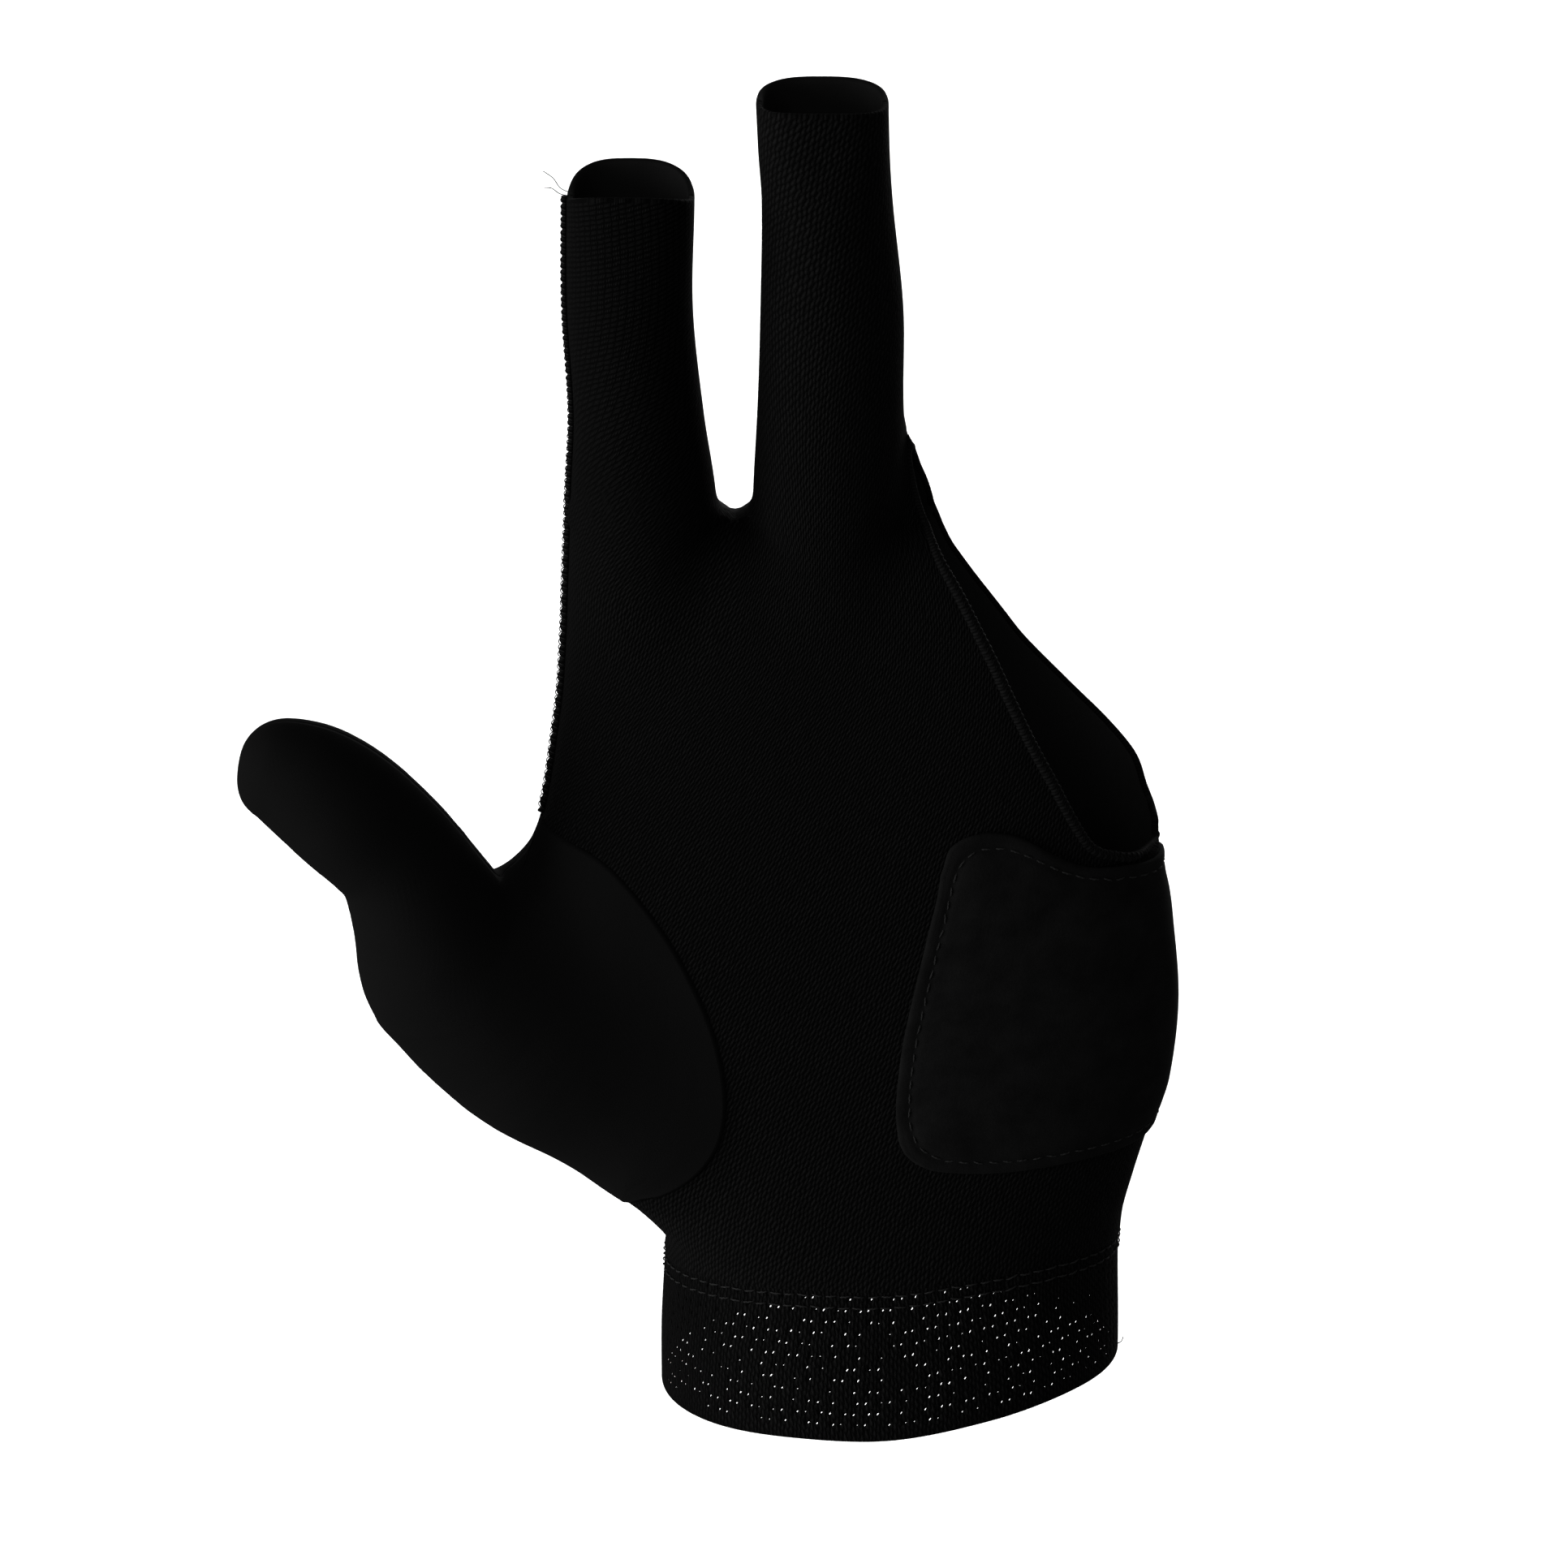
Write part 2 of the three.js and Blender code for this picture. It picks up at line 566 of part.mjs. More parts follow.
// Points of one row of a strip at even shares of its angle. `heightAt` gives a point's height from its angle and from
// where it lay at the last try.
function stripRow(axis, start, end, columns, side, level, heightAt) {
  const row = [];
  for (let j = 0; j <= columns; j++) {
    const angle = THREE.MathUtils.lerp(start, end, j / columns);
    const direction = roundTheLine(angle, side);
    let point = skinPoint(lineAt(axis, level), direction);
    for (let i = 0; i < 3; i++) point = skinPoint(lineAt(axis, heightAt(angle, point)), direction);
    row.push(point);
  }
  return row;
}

// The rows above the crotch of one finger tube, from the crotch row to the rim.
function fingerRows(axis, rim, levels, columns, side) {
  return levels.map((level) => {
    const share = THREE.MathUtils.smoothstep(level, CROTCH_Z + 15, rim.z);
    const heightAt = (angle) => level - rim.dip * Math.cos(angle) ** 2 * share;
    const end = axis === MIDDLE_AXIS ? stripEnd(level, side) : Math.PI;
    return stripRow(axis, 0, end, columns, side, level, heightAt);
  });
}

// Palm or back panel: two strips side by side up to the crotch, and a half tube on each above it. The lowest rows
// follow the sewn joint of the wrist.
function panel(side) {
  const foot = 21.5;
  const levels = [
    foot, 26.4, THUMB_FOOT.z - 0.8, 33.0, ...THUMB_BASE.map((row) => row.z).reverse(), 91.2,
    HEM_FOOT.z - HEM_SETBACK - 0.34, 87.4, 96.5, 101.5, 107.6, 114.6, 121.5, 128, 132.5, 135.6, CROTCH_Z - 1.6,
  ].sort((a, b) => a - b).filter((z, i, all) => i === 0 || z - all[i - 1] > 0.3);
  const indexRows = [];
  const middleRows = [];
  for (const level of levels) {
    const share = 1 - THREE.MathUtils.smoothstep(level, foot, WRIST_LEVEL_ABOVE);
    const heightAt = (angle, point) => {
      const joint = along(WRIST, "angle", "joint", wristAngle(point)) + SEAM_GAP;
      return level + (joint - foot) * share;
    };
    const valleyX = along(VALLEY, "z", "x", level);
    const toValley = angleOf(INDEX_AXIS, valleyX, level, side);
    const fromValley = angleOf(MIDDLE_AXIS, valleyX, level, side);
    const start = stripStart(level, side);
    const end = stripEnd(level, side);
    const left = stripRow(INDEX_AXIS, start, toValley, INDEX_COLUMNS, side, level, heightAt);
    const right = stripRow(MIDDLE_AXIS, fromValley, end, MIDDLE_COLUMNS, side, level, heightAt);
    const valley = left[INDEX_COLUMNS].clone().lerp(right[0], 0.5);
    left[INDEX_COLUMNS] = valley;
    right[0] = valley;
    indexRows.push(left);
    middleRows.push(right);
  }
  const crotch = new THREE.Vector3(along(VALLEY, "z", "x", CROTCH_Z), 0, CROTCH_Z);
  const indexLevels = [CROTCH_Z, 141.4, 145.5, 152, 160, 169, 178, INDEX_RIM.z];
  const middleLevels = [CROTCH_Z, 141.4, 144, 147, 150.4, 157, 165, 174, 183, 192.5, MIDDLE_RIM.z];
  const indexTube = fingerRows(INDEX_AXIS, INDEX_RIM, indexLevels, INDEX_COLUMNS, side);
  const middleTube = fingerRows(MIDDLE_AXIS, MIDDLE_RIM, middleLevels, MIDDLE_COLUMNS, side);
  indexTube[0][INDEX_COLUMNS] = crotch;
  middleTube[0][0] = crotch;
  return wall([[...indexRows, ...indexTube], [...middleRows, ...middleTube]], 0, KNIT, side);
}

// Unit vector in the picture plane at a compass angle, 0 along +X and 90 up.
function compass(degrees) {
  const angle = THREE.MathUtils.degToRad(degrees);
  return new THREE.Vector3(Math.cos(angle), 0, Math.sin(angle));
}

// One section of the free thumb, from its lower side over the palm or back to its upper seam.
function thumbSection(middle, outer, inner, cap, side) {
  const row = [];
  const lean = THREE.MathUtils.degToRad(cap);
  const tip = compass(THUMB_TIP_ANGLE);
  for (let j = 0; j <= THUMB_COLUMNS; j++) {
    const angle = (Math.PI * j) / THUMB_COLUMNS;
    const flat = Math.cos(angle) > 0 ? outer : inner;
    const direction = flat.clone().multiplyScalar(Math.abs(Math.cos(angle)) * Math.cos(lean));
    direction.y = side * Math.sin(angle) * Math.cos(lean);
    direction.addScaledVector(tip, Math.sin(lean)).normalize();
    row.push(skinPoint(middle, direction));
  }
  return row;
}

// One section of the thumb piece over the web or the hand: from its lower side round to straight in front of the
// middle point or behind it, then over the cloth's face to an end point that lies on the form.
function thumbBaseSection(middle, outer, end, side) {
  const row = [];
  const turning = 4;
  for (let j = 0; j < turning; j++) {
    const angle = (Math.PI / 2) * (j / turning);
    const direction = outer.clone().multiplyScalar(Math.cos(angle));
    direction.y = side * Math.sin(angle);
    row.push(skinPoint(middle, direction));
  }
  const facing = THUMB_COLUMNS - turning;
  for (let j = 0; j < facing; j++) {
    const from = middle.clone().lerp(end, Math.sin((Math.PI / 2) * (j / facing)));
    row.push(skinPoint(from, new THREE.Vector3(0, side, 0)));
  }
  row.push(end);
  return row;
}

// Front or back half of the thumb piece, from the tip to the heel of the hand.
function thumbHalf(side) {
  const rows = THUMB_TUBE.map((row) => {
    const middle = new THREE.Vector3(row.x, row.y, row.z);
    return thumbSection(middle, compass(row.outer), compass(row.inner), row.cap, side);
  });
  for (const row of THUMB_WEB) {
    const middle = new THREE.Vector3(row.x, row.y, row.z);
    const to = new THREE.Vector3(row.toX, row.toY, row.toZ);
    const end = skinPoint(middle, to.sub(middle).normalize());
    rows.push(thumbBaseSection(middle, compass(row.outer), end, side));
  }
  for (const row of THUMB_BASE) {
    const middle = new THREE.Vector3(row.x, row.y, row.midZ);
    const end = row === THUMB_BASE[0]
      ? skinPoint(lineAt(INDEX_AXIS, row.z), new THREE.Vector3(-1, 0, 0))
      : facePoint(side === PALM_SIDE ? row.palmX : row.backX, row.z, side);
    rows.push(thumbBaseSection(middle, compass(row.outer), end, side));
  }
  return wall([rows], THUMB_PROUD, THUMB_SKIN, side);
}

// Wrist band: a ring from the hem to the sewn joint.
function wristBand() {
  const rows = [0, 0.5, 1].map((share) => {
    const row = [];
    for (let j = 0; j <= BAND_COLUMNS; j++) {
      const angle = (2 * Math.PI * (j % BAND_COLUMNS)) / BAND_COLUMNS;
      const direction = new THREE.Vector3(Math.cos(angle), -0.8 * Math.sin(angle), 0).normalize();
      let point = direction;
      for (let i = 0; i < 3; i++) {
        const degrees = wristAngle(point);
        const hem = along(WRIST, "angle", "hem", degrees);
        const joint = along(WRIST, "angle", "joint", degrees);
        point = skinPoint(new THREE.Vector3(0, 0, THREE.MathUtils.lerp(hem, joint, share)), direction);
      }
      row.push(point);
    }
    return row;
  });
  return wall([rows], 0, BAND_WALL, 0);
}

// Heel pad: laid over the palm panel and round the side of the hand, with its grid stretched between its four sides.
function heelPad() {
  const side = (rows, column, share) => along(rows, "share", column, share);
  const spot = (column, u, v) => {
    const { lerp } = THREE.MathUtils;
    const across = lerp(side(PAD_LEFT, column, v), side(PAD_RIGHT, column, v), u);
    const up = lerp(side(PAD_BOTTOM, column, u), side(PAD_TOP, column, u), v);
    const low = lerp(PAD_LEFT[0][column], PAD_RIGHT[0][column], u);
    const high = lerp(PAD_LEFT[4][column], PAD_RIGHT[4][column], u);
    return across + up - lerp(low, high, v);
  };
  const rows = [];
  for (let i = 0; i <= PAD_ROWS; i++) {
    const row = [];
    for (let j = 0; j <= PAD_COLUMNS; j++) {
      const angle = THREE.MathUtils.degToRad(spot("angle", j / PAD_COLUMNS, i / PAD_ROWS));
      const from = lineAt(MIDDLE_AXIS, spot("z", j / PAD_COLUMNS, i / PAD_ROWS));
      row.push(skinPoint(from, roundTheLine(angle, PALM_SIDE)));
    }
    rows.push(row);
  }
  return wall([rows], PAD_LIFT, PAD_WALL, 0);
}

// A round cord along a curve, as a closed solid.
function cord(curve, radius, steps, sides) {
  const section = new THREE.Shape();
  for (let i = 0; i < sides; i++) {
    const angle = (2 * Math.PI * i) / sides;
    const corner = [radius * Math.cos(angle), radius * Math.sin(angle)];
    if (i === 0) section.moveTo(...corner);
    else section.lineTo(...corner);
  }
  section.closePath();
  const geometry = new THREE.ExtrudeGeometry(section, { steps, bevelEnabled: false, extrudePath: curve });
  geometry.deleteAttribute("normal");
  geometry.deleteAttribute("uv");
  return facingOut(mergeVertices(geometry, 1e-3));
}

// Binding: a rolled edge that runs down the palm side of the opening, round its foot and up the back.
function openingBinding() {
  const rolled = (row, side) => {
    const face = facePoint(row.x, row.z, side);
    return face.addScaledVector(outward(face), -KNIT / 2);
  };
  const top = (side) => HEM_TOP.map((row) => new THREE.Vector3(row.x, side * row.aside, row.z));
  const down = PALM_HEM.map((row) => rolled(row, PALM_SIDE));
  const up = BACK_HEM.map((row) => rolled(row, BACK_SIDE)).reverse();
  const corner = skinPoint(lineAt(MIDDLE_AXIS, HEM_FOOT.z), new THREE.Vector3(1, 0, 0));
  corner.x -= KNIT / 2;
  const points = [...top(PALM_SIDE), ...down, corner, ...up, ...top(BACK_SIDE).reverse()];
  const curve = new THREE.CatmullRomCurve3(points, false, "centripetal");
  return cord(curve, BINDING_RADIUS, BINDING_STEPS, CORD_SIDES);
}

// Overlocked side seam along the index finger, from the rim down to the web of the thumb.
function overlockSeam() {
  const points = [];
  const top = INDEX_RIM.z - INDEX_RIM.dip;
  for (let i = 0; i <= 16; i++) {
    const z = THREE.MathUtils.lerp(top, THUMB_BASE[0].z + 2.5, i / 16);
    const skin = skinPoint(lineAt(INDEX_AXIS, z), new THREE.Vector3(-1, 0, 0));
    points.push(skin.addScaledVector(outward(skin), OVERLOCK_LIFT));
  }
  return cord(new THREE.CatmullRomCurve3(points), OVERLOCK_RADIUS, OVERLOCK_STEPS, CORD_SIDES);
}

const knit = new THREE.MeshStandardMaterial({ color: 0x0d0d0d, roughness: 0.82, metalness: 0 });
const lycra = new THREE.MeshStandardMaterial({ color: 0x0f0f0f, roughness: 0.7, metalness: 0 });
const microfibre = new THREE.MeshStandardMaterial({ color: 0x141414, roughness: 0.55, metalness: 0 });
const suede = new THREE.MeshStandardMaterial({ color: 0x151515, roughness: 0.9, metalness: 0 });
const mesh = new THREE.MeshStandardMaterial({ color: 0x0d0d0d, roughness: 0.85, metalness: 0 });
const thread = new THREE.MeshStandardMaterial({ color: 0x1c1c1c, roughness: 0.6, metalness: 0 });

const glove = new THREE.Group();

function place(name, geometry, material) {
  const piece = new THREE.Mesh(geometry, material);
  piece.name = name;
  glove.add(piece);
}

place("palm_panel", panel(PALM_SIDE), knit);
place("back_panel", panel(BACK_SIDE), lycra);
place("thumb_front", thumbHalf(PALM_SIDE), microfibre);
place("thumb_back", thumbHalf(BACK_SIDE), microfibre);
place("wrist_band", wristBand(), mesh);
place("heel_pad", heelPad(), suede);
place("opening_binding", openingBinding(), thread);
place("index_side_seam", overlockSeam(), thread);

export default glove;
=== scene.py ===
import bpy
import numpy as np
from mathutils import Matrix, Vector


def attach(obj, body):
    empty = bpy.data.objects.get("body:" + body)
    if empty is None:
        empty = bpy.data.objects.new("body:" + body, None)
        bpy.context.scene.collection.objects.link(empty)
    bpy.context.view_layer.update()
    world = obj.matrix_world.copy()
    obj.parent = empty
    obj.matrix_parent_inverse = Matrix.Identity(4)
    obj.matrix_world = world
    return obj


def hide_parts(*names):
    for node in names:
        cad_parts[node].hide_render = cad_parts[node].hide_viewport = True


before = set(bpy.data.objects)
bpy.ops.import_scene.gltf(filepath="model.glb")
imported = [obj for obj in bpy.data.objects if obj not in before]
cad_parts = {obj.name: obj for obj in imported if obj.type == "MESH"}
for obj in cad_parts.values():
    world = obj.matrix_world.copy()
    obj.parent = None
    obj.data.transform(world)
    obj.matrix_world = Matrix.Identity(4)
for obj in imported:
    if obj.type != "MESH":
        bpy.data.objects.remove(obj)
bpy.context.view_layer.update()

# Palm and back panels
# Two pieces of cloth, sewn together down both sides and between the fingers, that run up as the halves of the
# finger tubes. They lie on the hand, so the hand's own form comes first. Sizes are in millimetres.

# Sections up the hand: z, left, right, front, back, and how square the section is, where 2 is an ellipse
HAND = np.array([
    (-8, -34.8, 34.8, 25.5, 25.5, 2.2),
    (8, -34.8, 34.8, 25.0, 25.0, 2.2),
    (20, -34.2, 34.6, 23.0, 24.0, 2.25),
    (24, -34.1, 34.7, 22.6, 23.1, 2.3),
    (29, -37.4, 35.2, 22.1, 21.9, 2.4),
    (36, -41.8, 36.9, 21.5, 20.5, 2.5),
    (48, -47.0, 40.0, 21.0, 19.0, 2.6),
    (62, -54.0, 41.5, 20.0, 17.5, 2.6),
    (76, -58.4, 40.4, 18.5, 16.2, 2.6),
    (82, -55.7, 39.6, 18.0, 16.0, 2.6),
    (87, -53.1, 39.5, 17.4, 15.5, 2.6),
    (94, -51.0, 39.1, 16.5, 15.0, 2.6),
    (110, -48.6, 37.0, 14.8, 14.0, 2.5),
    (122, -46.6, 34.5, 13.1, 12.5, 2.4),
    (126, -46.0, 33.3, 12.2, 11.6, 2.4),
    (130, -45.5, 32.0, 11.1, 10.6, 2.4),
    (134, -45.0, 30.5, 9.4, 9.0, 2.4),
    (136.5, -44.5, 29.5, 6.5, 6.5, 2.4),
    (138, -44.0, 28.0, 3.0, 3.0, 2.4),
])
INDEX = np.array([
    (104, -44.0, -25.5, 7.0, 7.0, 2.1),
    (114, -46.4, -25.5, 9.0, 9.0, 2.1),
    (124, -47.2, -25.5, 10.6, 10.4, 2.1),
    (134, -47.2, -25.7, 11.3, 10.6, 2.1),
    (142, -47.1, -26.0, 10.9, 10.3, 2.1),
    (154, -46.6, -27.7, 10.2, 9.8, 2.1),
    (170, -47.4, -29.2, 9.7, 9.7, 2.1),
    (186, -47.3, -28.9, 9.8, 9.8, 2.6),
    (192, -47.2, -28.9, 9.9, 9.9, 3.1),
])
MIDDLE = np.array([
    (104, -20.0, 0.0, 7.0, 7.0, 2.1),
    (114, -20.5, 1.0, 9.0, 9.0, 2.1),
    (124, -21.0, 1.4, 10.9, 10.7, 2.1),
    (134, -20.8, 1.6, 11.6, 10.9, 2.1),
    (142, -20.6, 1.8, 11.3, 10.7, 2.1),
    (156, -19.9, 1.3, 10.5, 10.2, 2.1),
    (170, -19.5, 1.2, 10.0, 10.0, 2.1),
    (186, -19.3, -0.4, 9.8, 9.8, 2.1),
    (194, -19.8, -0.9, 9.6, 9.6, 2.6),
    (208, -20.4, -1.2, 9.6, 9.6, 3.1),
])
# Balls under the thumb from its tip, under the blunt corner at the tip's lower side, under the top of the
# opening beside the middle finger, and under the ball of the thumb: step, x, y, z, radius
THUMB = np.array([
    (0, -88.9, -13.0, 104.2, 6.3),
    (1, -84.4, -13.0, 101.2, 8.2),
    (2, -79.4, -13.0, 96.8, 9.0),
    (3, -73.2, -12.0, 90.1, 8.9),
    (4, -69.2, -10.5, 81.6, 10.5),
    (5, -65.2, -9.0, 70.8, 13.3),
])
THUMB_CORNER = np.array([
    (0, -91.5, -13.0, 100.4, 3.6),
    (1, -78.6, -12.6, 92.0, 6.2),
])
OPENING_TOP = np.array([
    (0, 3.5, 1.0, 132.0, 7.5),
    (1, 1.5, 2.0, 139.0, 5.8),
    (2, 0.0, 1.5, 145.5, 4.2),
    (3, -1.4, 1.0, 150.5, 2.6),
])
THENAR = np.array([
    (0, -65.2, -9.0, 70.8, 13.3),
    (1, -57.8, -7.0, 64.2, 15.5),
    (2, -49.3, -5.5, 57.0, 15.9),
    (3, -38.0, -4.0, 49.0, 14.4),
])


def along(rows, at):
    """All columns of a table where its first, rising column has the values `at`. Between two rows each
    column is the Hermite cubic a(1+2s)(1-s)^2 + b s^2(3-2s), plus its two end slopes, and the slope at a
    row is that of the line between the rows before and after it."""
    first = rows[:, 0]
    at = np.clip(at, first[0], first[-1])
    i = np.clip(np.searchsorted(first, at, side="right") - 1, 0, len(rows) - 2)
    before = np.maximum(np.arange(len(rows)) - 1, 0)
    after = np.minimum(np.arange(len(rows)) + 1, len(rows) - 1)
    slope = (rows[after] - rows[before]) / (first[after] - first[before])[:, None]
    width = (first[i + 1] - first[i])[..., None]
    s = (at - first[i])[..., None] / width
    ends = rows[i] * (1 + 2 * s) * (1 - s) ** 2 + rows[i + 1] * s * s * (3 - 2 * s)
    return ends + width * s * (1 - s) * (slope[i] * (1 - s) - slope[i + 1] * s)


def tube_distance(rows, p):
    """Distance to an upright tube: (f - 1) divided by the steepness of f, where f^n = |x/a|^n + |y/b|^n."""
    z, left, right, front, back, n = np.moveaxis(along(rows, p[..., 2]), -1, 0)
    half_width = (right - left) / 2
    half_depth = (front + back) / 2
    u = np.abs(p[..., 0] - (left + right) / 2) / half_width + 1e-9
    v = np.abs(p[..., 1] - (back - front) / 2) / half_depth + 1e-9
    f = (u**n + v**n) ** (1 / n)
    steepness = f ** (1 - n) * np.hypot(u ** (n - 1) / half_width, v ** (n - 1) / half_depth)
    beyond_ends = np.maximum(rows[0, 0] - p[..., 2], p[..., 2] - rows[-1, 0])
    return np.maximum((f - 1) / steepness, beyond_ends)


def unit(v):
    """Vectors of the same directions and of length 1."""
    return v / np.maximum(np.linalg.norm(v, axis=-1, keepdims=True), 1e-9)


def soft_min(a, b, softness):
    """The smaller of a and b, less (softness - |a - b|)^2 / (4 softness) where they are alike."""
    near = np.maximum(softness - np.abs(a - b), 0) / softness
    return np.minimum(a, b) - near * near * softness / 4


def chain_distance(balls, p):
    """Distance to a skin over a chain of balls: for each two, the distance to their axis where the slanted
    skin's foot lies, less the radius there, all run together over 0.8 mm."""
    nearest = None
    for a, b in zip(balls[:-1], balls[1:]):
        axis = b[:3] - a[:3]
        length = np.linalg.norm(axis)
        w = (p - a[:3]) @ axis / length
        away = np.linalg.norm(p - a[:3] - w[..., None] * axis / length, axis=-1)
        lean = (a[3] - b[3]) / length
        s = np.clip((w + away * lean / np.sqrt(max(1 - lean * lean, 1e-3))) / length, 0, 1)
        d = np.hypot(away, w - s * length) - a[3] - s * (b[3] - a[3])
        nearest = d if nearest is None else soft_min(nearest, d, 0.8)
    return nearest


THUMB_BALLS = along(THUMB, np.linspace(0, 5, 16))[:, 1:]
THENAR_BALLS = along(THENAR, np.linspace(0, 3, 10))[:, 1:]


def hand_form(p):
    """Distance to the hand: its tubes and chains of balls run together over 10, 2, 3, 4 and 1.2 mm."""
    palm = soft_min(tube_distance(HAND, p), chain_distance(THENAR_BALLS, p), 10)
    middle = soft_min(tube_distance(MIDDLE, p), chain_distance(OPENING_TOP[:, 1:], p), 2)
    fingers = soft_min(tube_distance(INDEX, p), middle, 2)
    thumb = soft_min(chain_distance(THUMB_BALLS, p), chain_distance(THUMB_CORNER[:, 1:], p), 3)
    return soft_min(soft_min(palm, fingers, 4), thumb, 1.2)


def outward(p):
    """Unit gradient of the form, from differences over 0.1 mm."""
    step = 0.05 * np.eye(3)
    slope = [hand_form(p + s) - hand_form(p - s) for s in step]
    return unit(np.stack(slope, axis=-1))


LONGEST_STEP = 1.5
SHORTEST_STEP = 0.25
FARTHEST = 90
HALVINGS = 13


def skin_point(start, direction):
    """First point of the form on each ray. Each step out is 0.7 of the depth left, within two limits, and
    the step that leaves the form is then halved again and again."""
    start, direction = np.broadcast_arrays(np.asarray(start, float), np.asarray(direction, float))
    shape = start.shape
    start = start.reshape(-1, 3)
    direction = direction.reshape(-1, 3)
    inside = np.zeros(len(start))
    outside = np.zeros(len(start))
    depth = hand_form(start)
    walking = np.arange(len(start))
    while len(walking):
        reach = inside[walking] + np.clip(-0.7 * depth[walking], SHORTEST_STEP, LONGEST_STEP)
        d = hand_form(start[walking] + direction[walking] * reach[:, None])
        through = (d >= 0) | (reach > FARTHEST)
        outside[walking[through]] = reach[through]
        inside[walking[~through]] = reach[~through]
        depth[walking[~through]] = d[~through]
        walking = walking[~through]
    for halving in range(HALVINGS):
        middle = (inside + outside) / 2
        within = hand_form(start + direction * middle[:, None]) < 0
        inside = np.where(within, middle, inside)
        outside = np.where(within, outside, middle)
    return (start + direction * ((inside + outside) / 2)[:, None]).reshape(shape)


PALM = -1
BACK = 1


def face_point(x, z, side):
    """Point of the palm (side -1) or the back (side 1) straight in front of or behind (x, z)."""
    x, z = np.broadcast_arrays(np.asarray(x, float), np.asarray(z, float))
    return skin_point(np.stack([x, 0 * x, z], axis=-1), (0.0, side, 0.0))


# The line that each finger's strip is wrapped round, and the valley between the strips: z, x
INDEX_AXIS = np.array([(0, -20.0), (60, -27.0), (110, -36.0), (140, -37.3), (192, -38.7)])
MIDDLE_AXIS = np.array([(0, 15.0), (60, 15.0), (92, 12.0), (110, -2.0), (140, -9.4), (208, -11.0)])
VALLEY = np.array([(0, -4.0), (60, -11.0), (110, -20.0), (140, -23.3)])

# Wrist: heights of the hem and of the sewn joint by the angle round the wrist: angle, hem, joint
WRIST = np.array([
    (-30, 3.6, 22.6),
    (0, 4.6, 24.6),
    (30, 4.5, 26.2),
    (57, 2.6, 25.5),
    (90, 0.2, 23.8),
    (122, -0.2, 23.5),
    (150, -0.8, 22.4),
    (180, -0.8, 20.7),
    (225, 0.2, 20.2),
    (270, 1.2, 20.6),
    (315, 3.0, 21.8),
    (360, 4.6, 24.6),
    (390, 4.5, 26.2),
])

# Edge of the thumb piece over the palm and over the back: z, palm x, back x, then the section's middle x,
# y, z and the compass angle of its outer side
THUMB_BASE = np.array([
    (90.6, -52.6, -52.6, -59.4, -7.6, 70.0, -160),
    (90.1, -47.8, -49.8, -59.0, -7.5, 69.2, -157),
    (88.7, -43.8, -47.4, -58.4, -7.3, 68.2, -154),
    (86.4, -40.6, -45.2, -57.6, -7.0, 67.0, -150),
    (82.2, -36.7, -42.4, -56.6, -6.7, 65.6, -146),
    (77.0, -33.0, -39.9, -55.2, -6.4, 64.0, -142),
    (71.1, -29.9, -38.2, -53.6, -6.1, 62.3, -137),
    (64.6, -27.2, -36.9, -51.6, -5.8, 60.3, -132),
    (58.0, -25.6, -36.0, -49.4, -5.5, 58.0, -127),
    (52.2, -25.2, -35.5, -47.2, -5.2, 55.4, -121),
    (47.2, -26.0, -35.4, -45.0, -4.9, 52.4, -115),
    (43.2, -28.0, -35.8, -43.0, -4.5, 49.4, -109),
    (40.0, -30.8, -36.6, -41.4, -4.0, 46.4, -103),
    (37.2, -34.4, -37.7, -40.2, -3.0, 43.2, -99),
    (34.9, -38.2, -38.8, -39.6, -1.8, 40.0, -96),
    (31.6, -39.4, -39.4, -39.4, -0.8, 38.5, -96),
])

# Edge of the opening for the ring and little fingers, over the palm and over the back: z, x
PALM_HEM = np.array([
    (87.9, 37.4),
    (88.5, 34.8),
    (89.4, 31.6),
    (90.6, 29.4),
    (92.6, 27.8),
    (96.5, 25.6),
    (100.7, 23.5),
    (107.6, 19.9),
    (114.6, 16.6),
    (119.5, 14.4),
    (124.2, 12.1),
    (130.0, 9.1),
    (135.0, 6.2),
    (140.0, 3.9),
    (143.3, 2.9),
    (147.5, 2.2),
])
BACK_HEM = np.array([
    (93.6, 37.9),
    (98.0, 36.2),
    (102.0, 32.5),
    (107.6, 26.4),
    (114.6, 19.5),
    (119.5, 15.8),
    (124.2, 12.4),
    (130.0, 8.6),
    (133.4, 7.1),
    (136.5, 6.2),
    (139.6, 5.4),
    (143.0, 4.4),
    (146.4, 3.3),
    (147.5, 2.9),
])
HEM_FOOT_Z = 87.4
HEM_FOOT_X = 41.0
TUBE_CLOSED_ABOVE = 150.0
# The thumb piece covers the panels between these heights, and they run on under it by this much
THUMB_TOP_Z = THUMB_BASE[0, 0]
THUMB_FOOT_Z = THUMB_BASE[-1, 0]
TUCKED_UNDER = 2.5
# The panels' lowest row, the height up to which it follows the joint's slope, and how far above the crotch
# their rows start to follow the rim
PANEL_FOOT = 21.5
JOINT_FELT_BELOW = 34
RIM_FELT_ABOVE_CROTCH = 15

# Rims of the two finger tubes: height at the front, and how far the sides dip
INDEX_RIM = (189.2, 2.6)
MIDDLE_RIM = (201.6, 0.9)


def line_at(axis, z):
    """Points of a strip's line, in the middle plane."""
    z = np.asarray(z, float)
    return np.stack([along(axis, z)[..., 1], 0 * z, z], axis=-1)


def angle_of(axis, x, z, side):
    """Angle round a strip's line at which it sees the point of the palm or back at (x, z)."""
    face = face_point(x, z, side)
    return np.arctan2(np.abs(face[..., 1]), line_at(axis, z)[..., 0] - face[..., 0])


def strip_direction(angle, side):
    """Unit vectors at an angle round a strip's line, from 0 at the left through the palm or the back."""
    return np.stack([-np.cos(angle), side * np.sin(angle), 0 * angle], axis=-1)


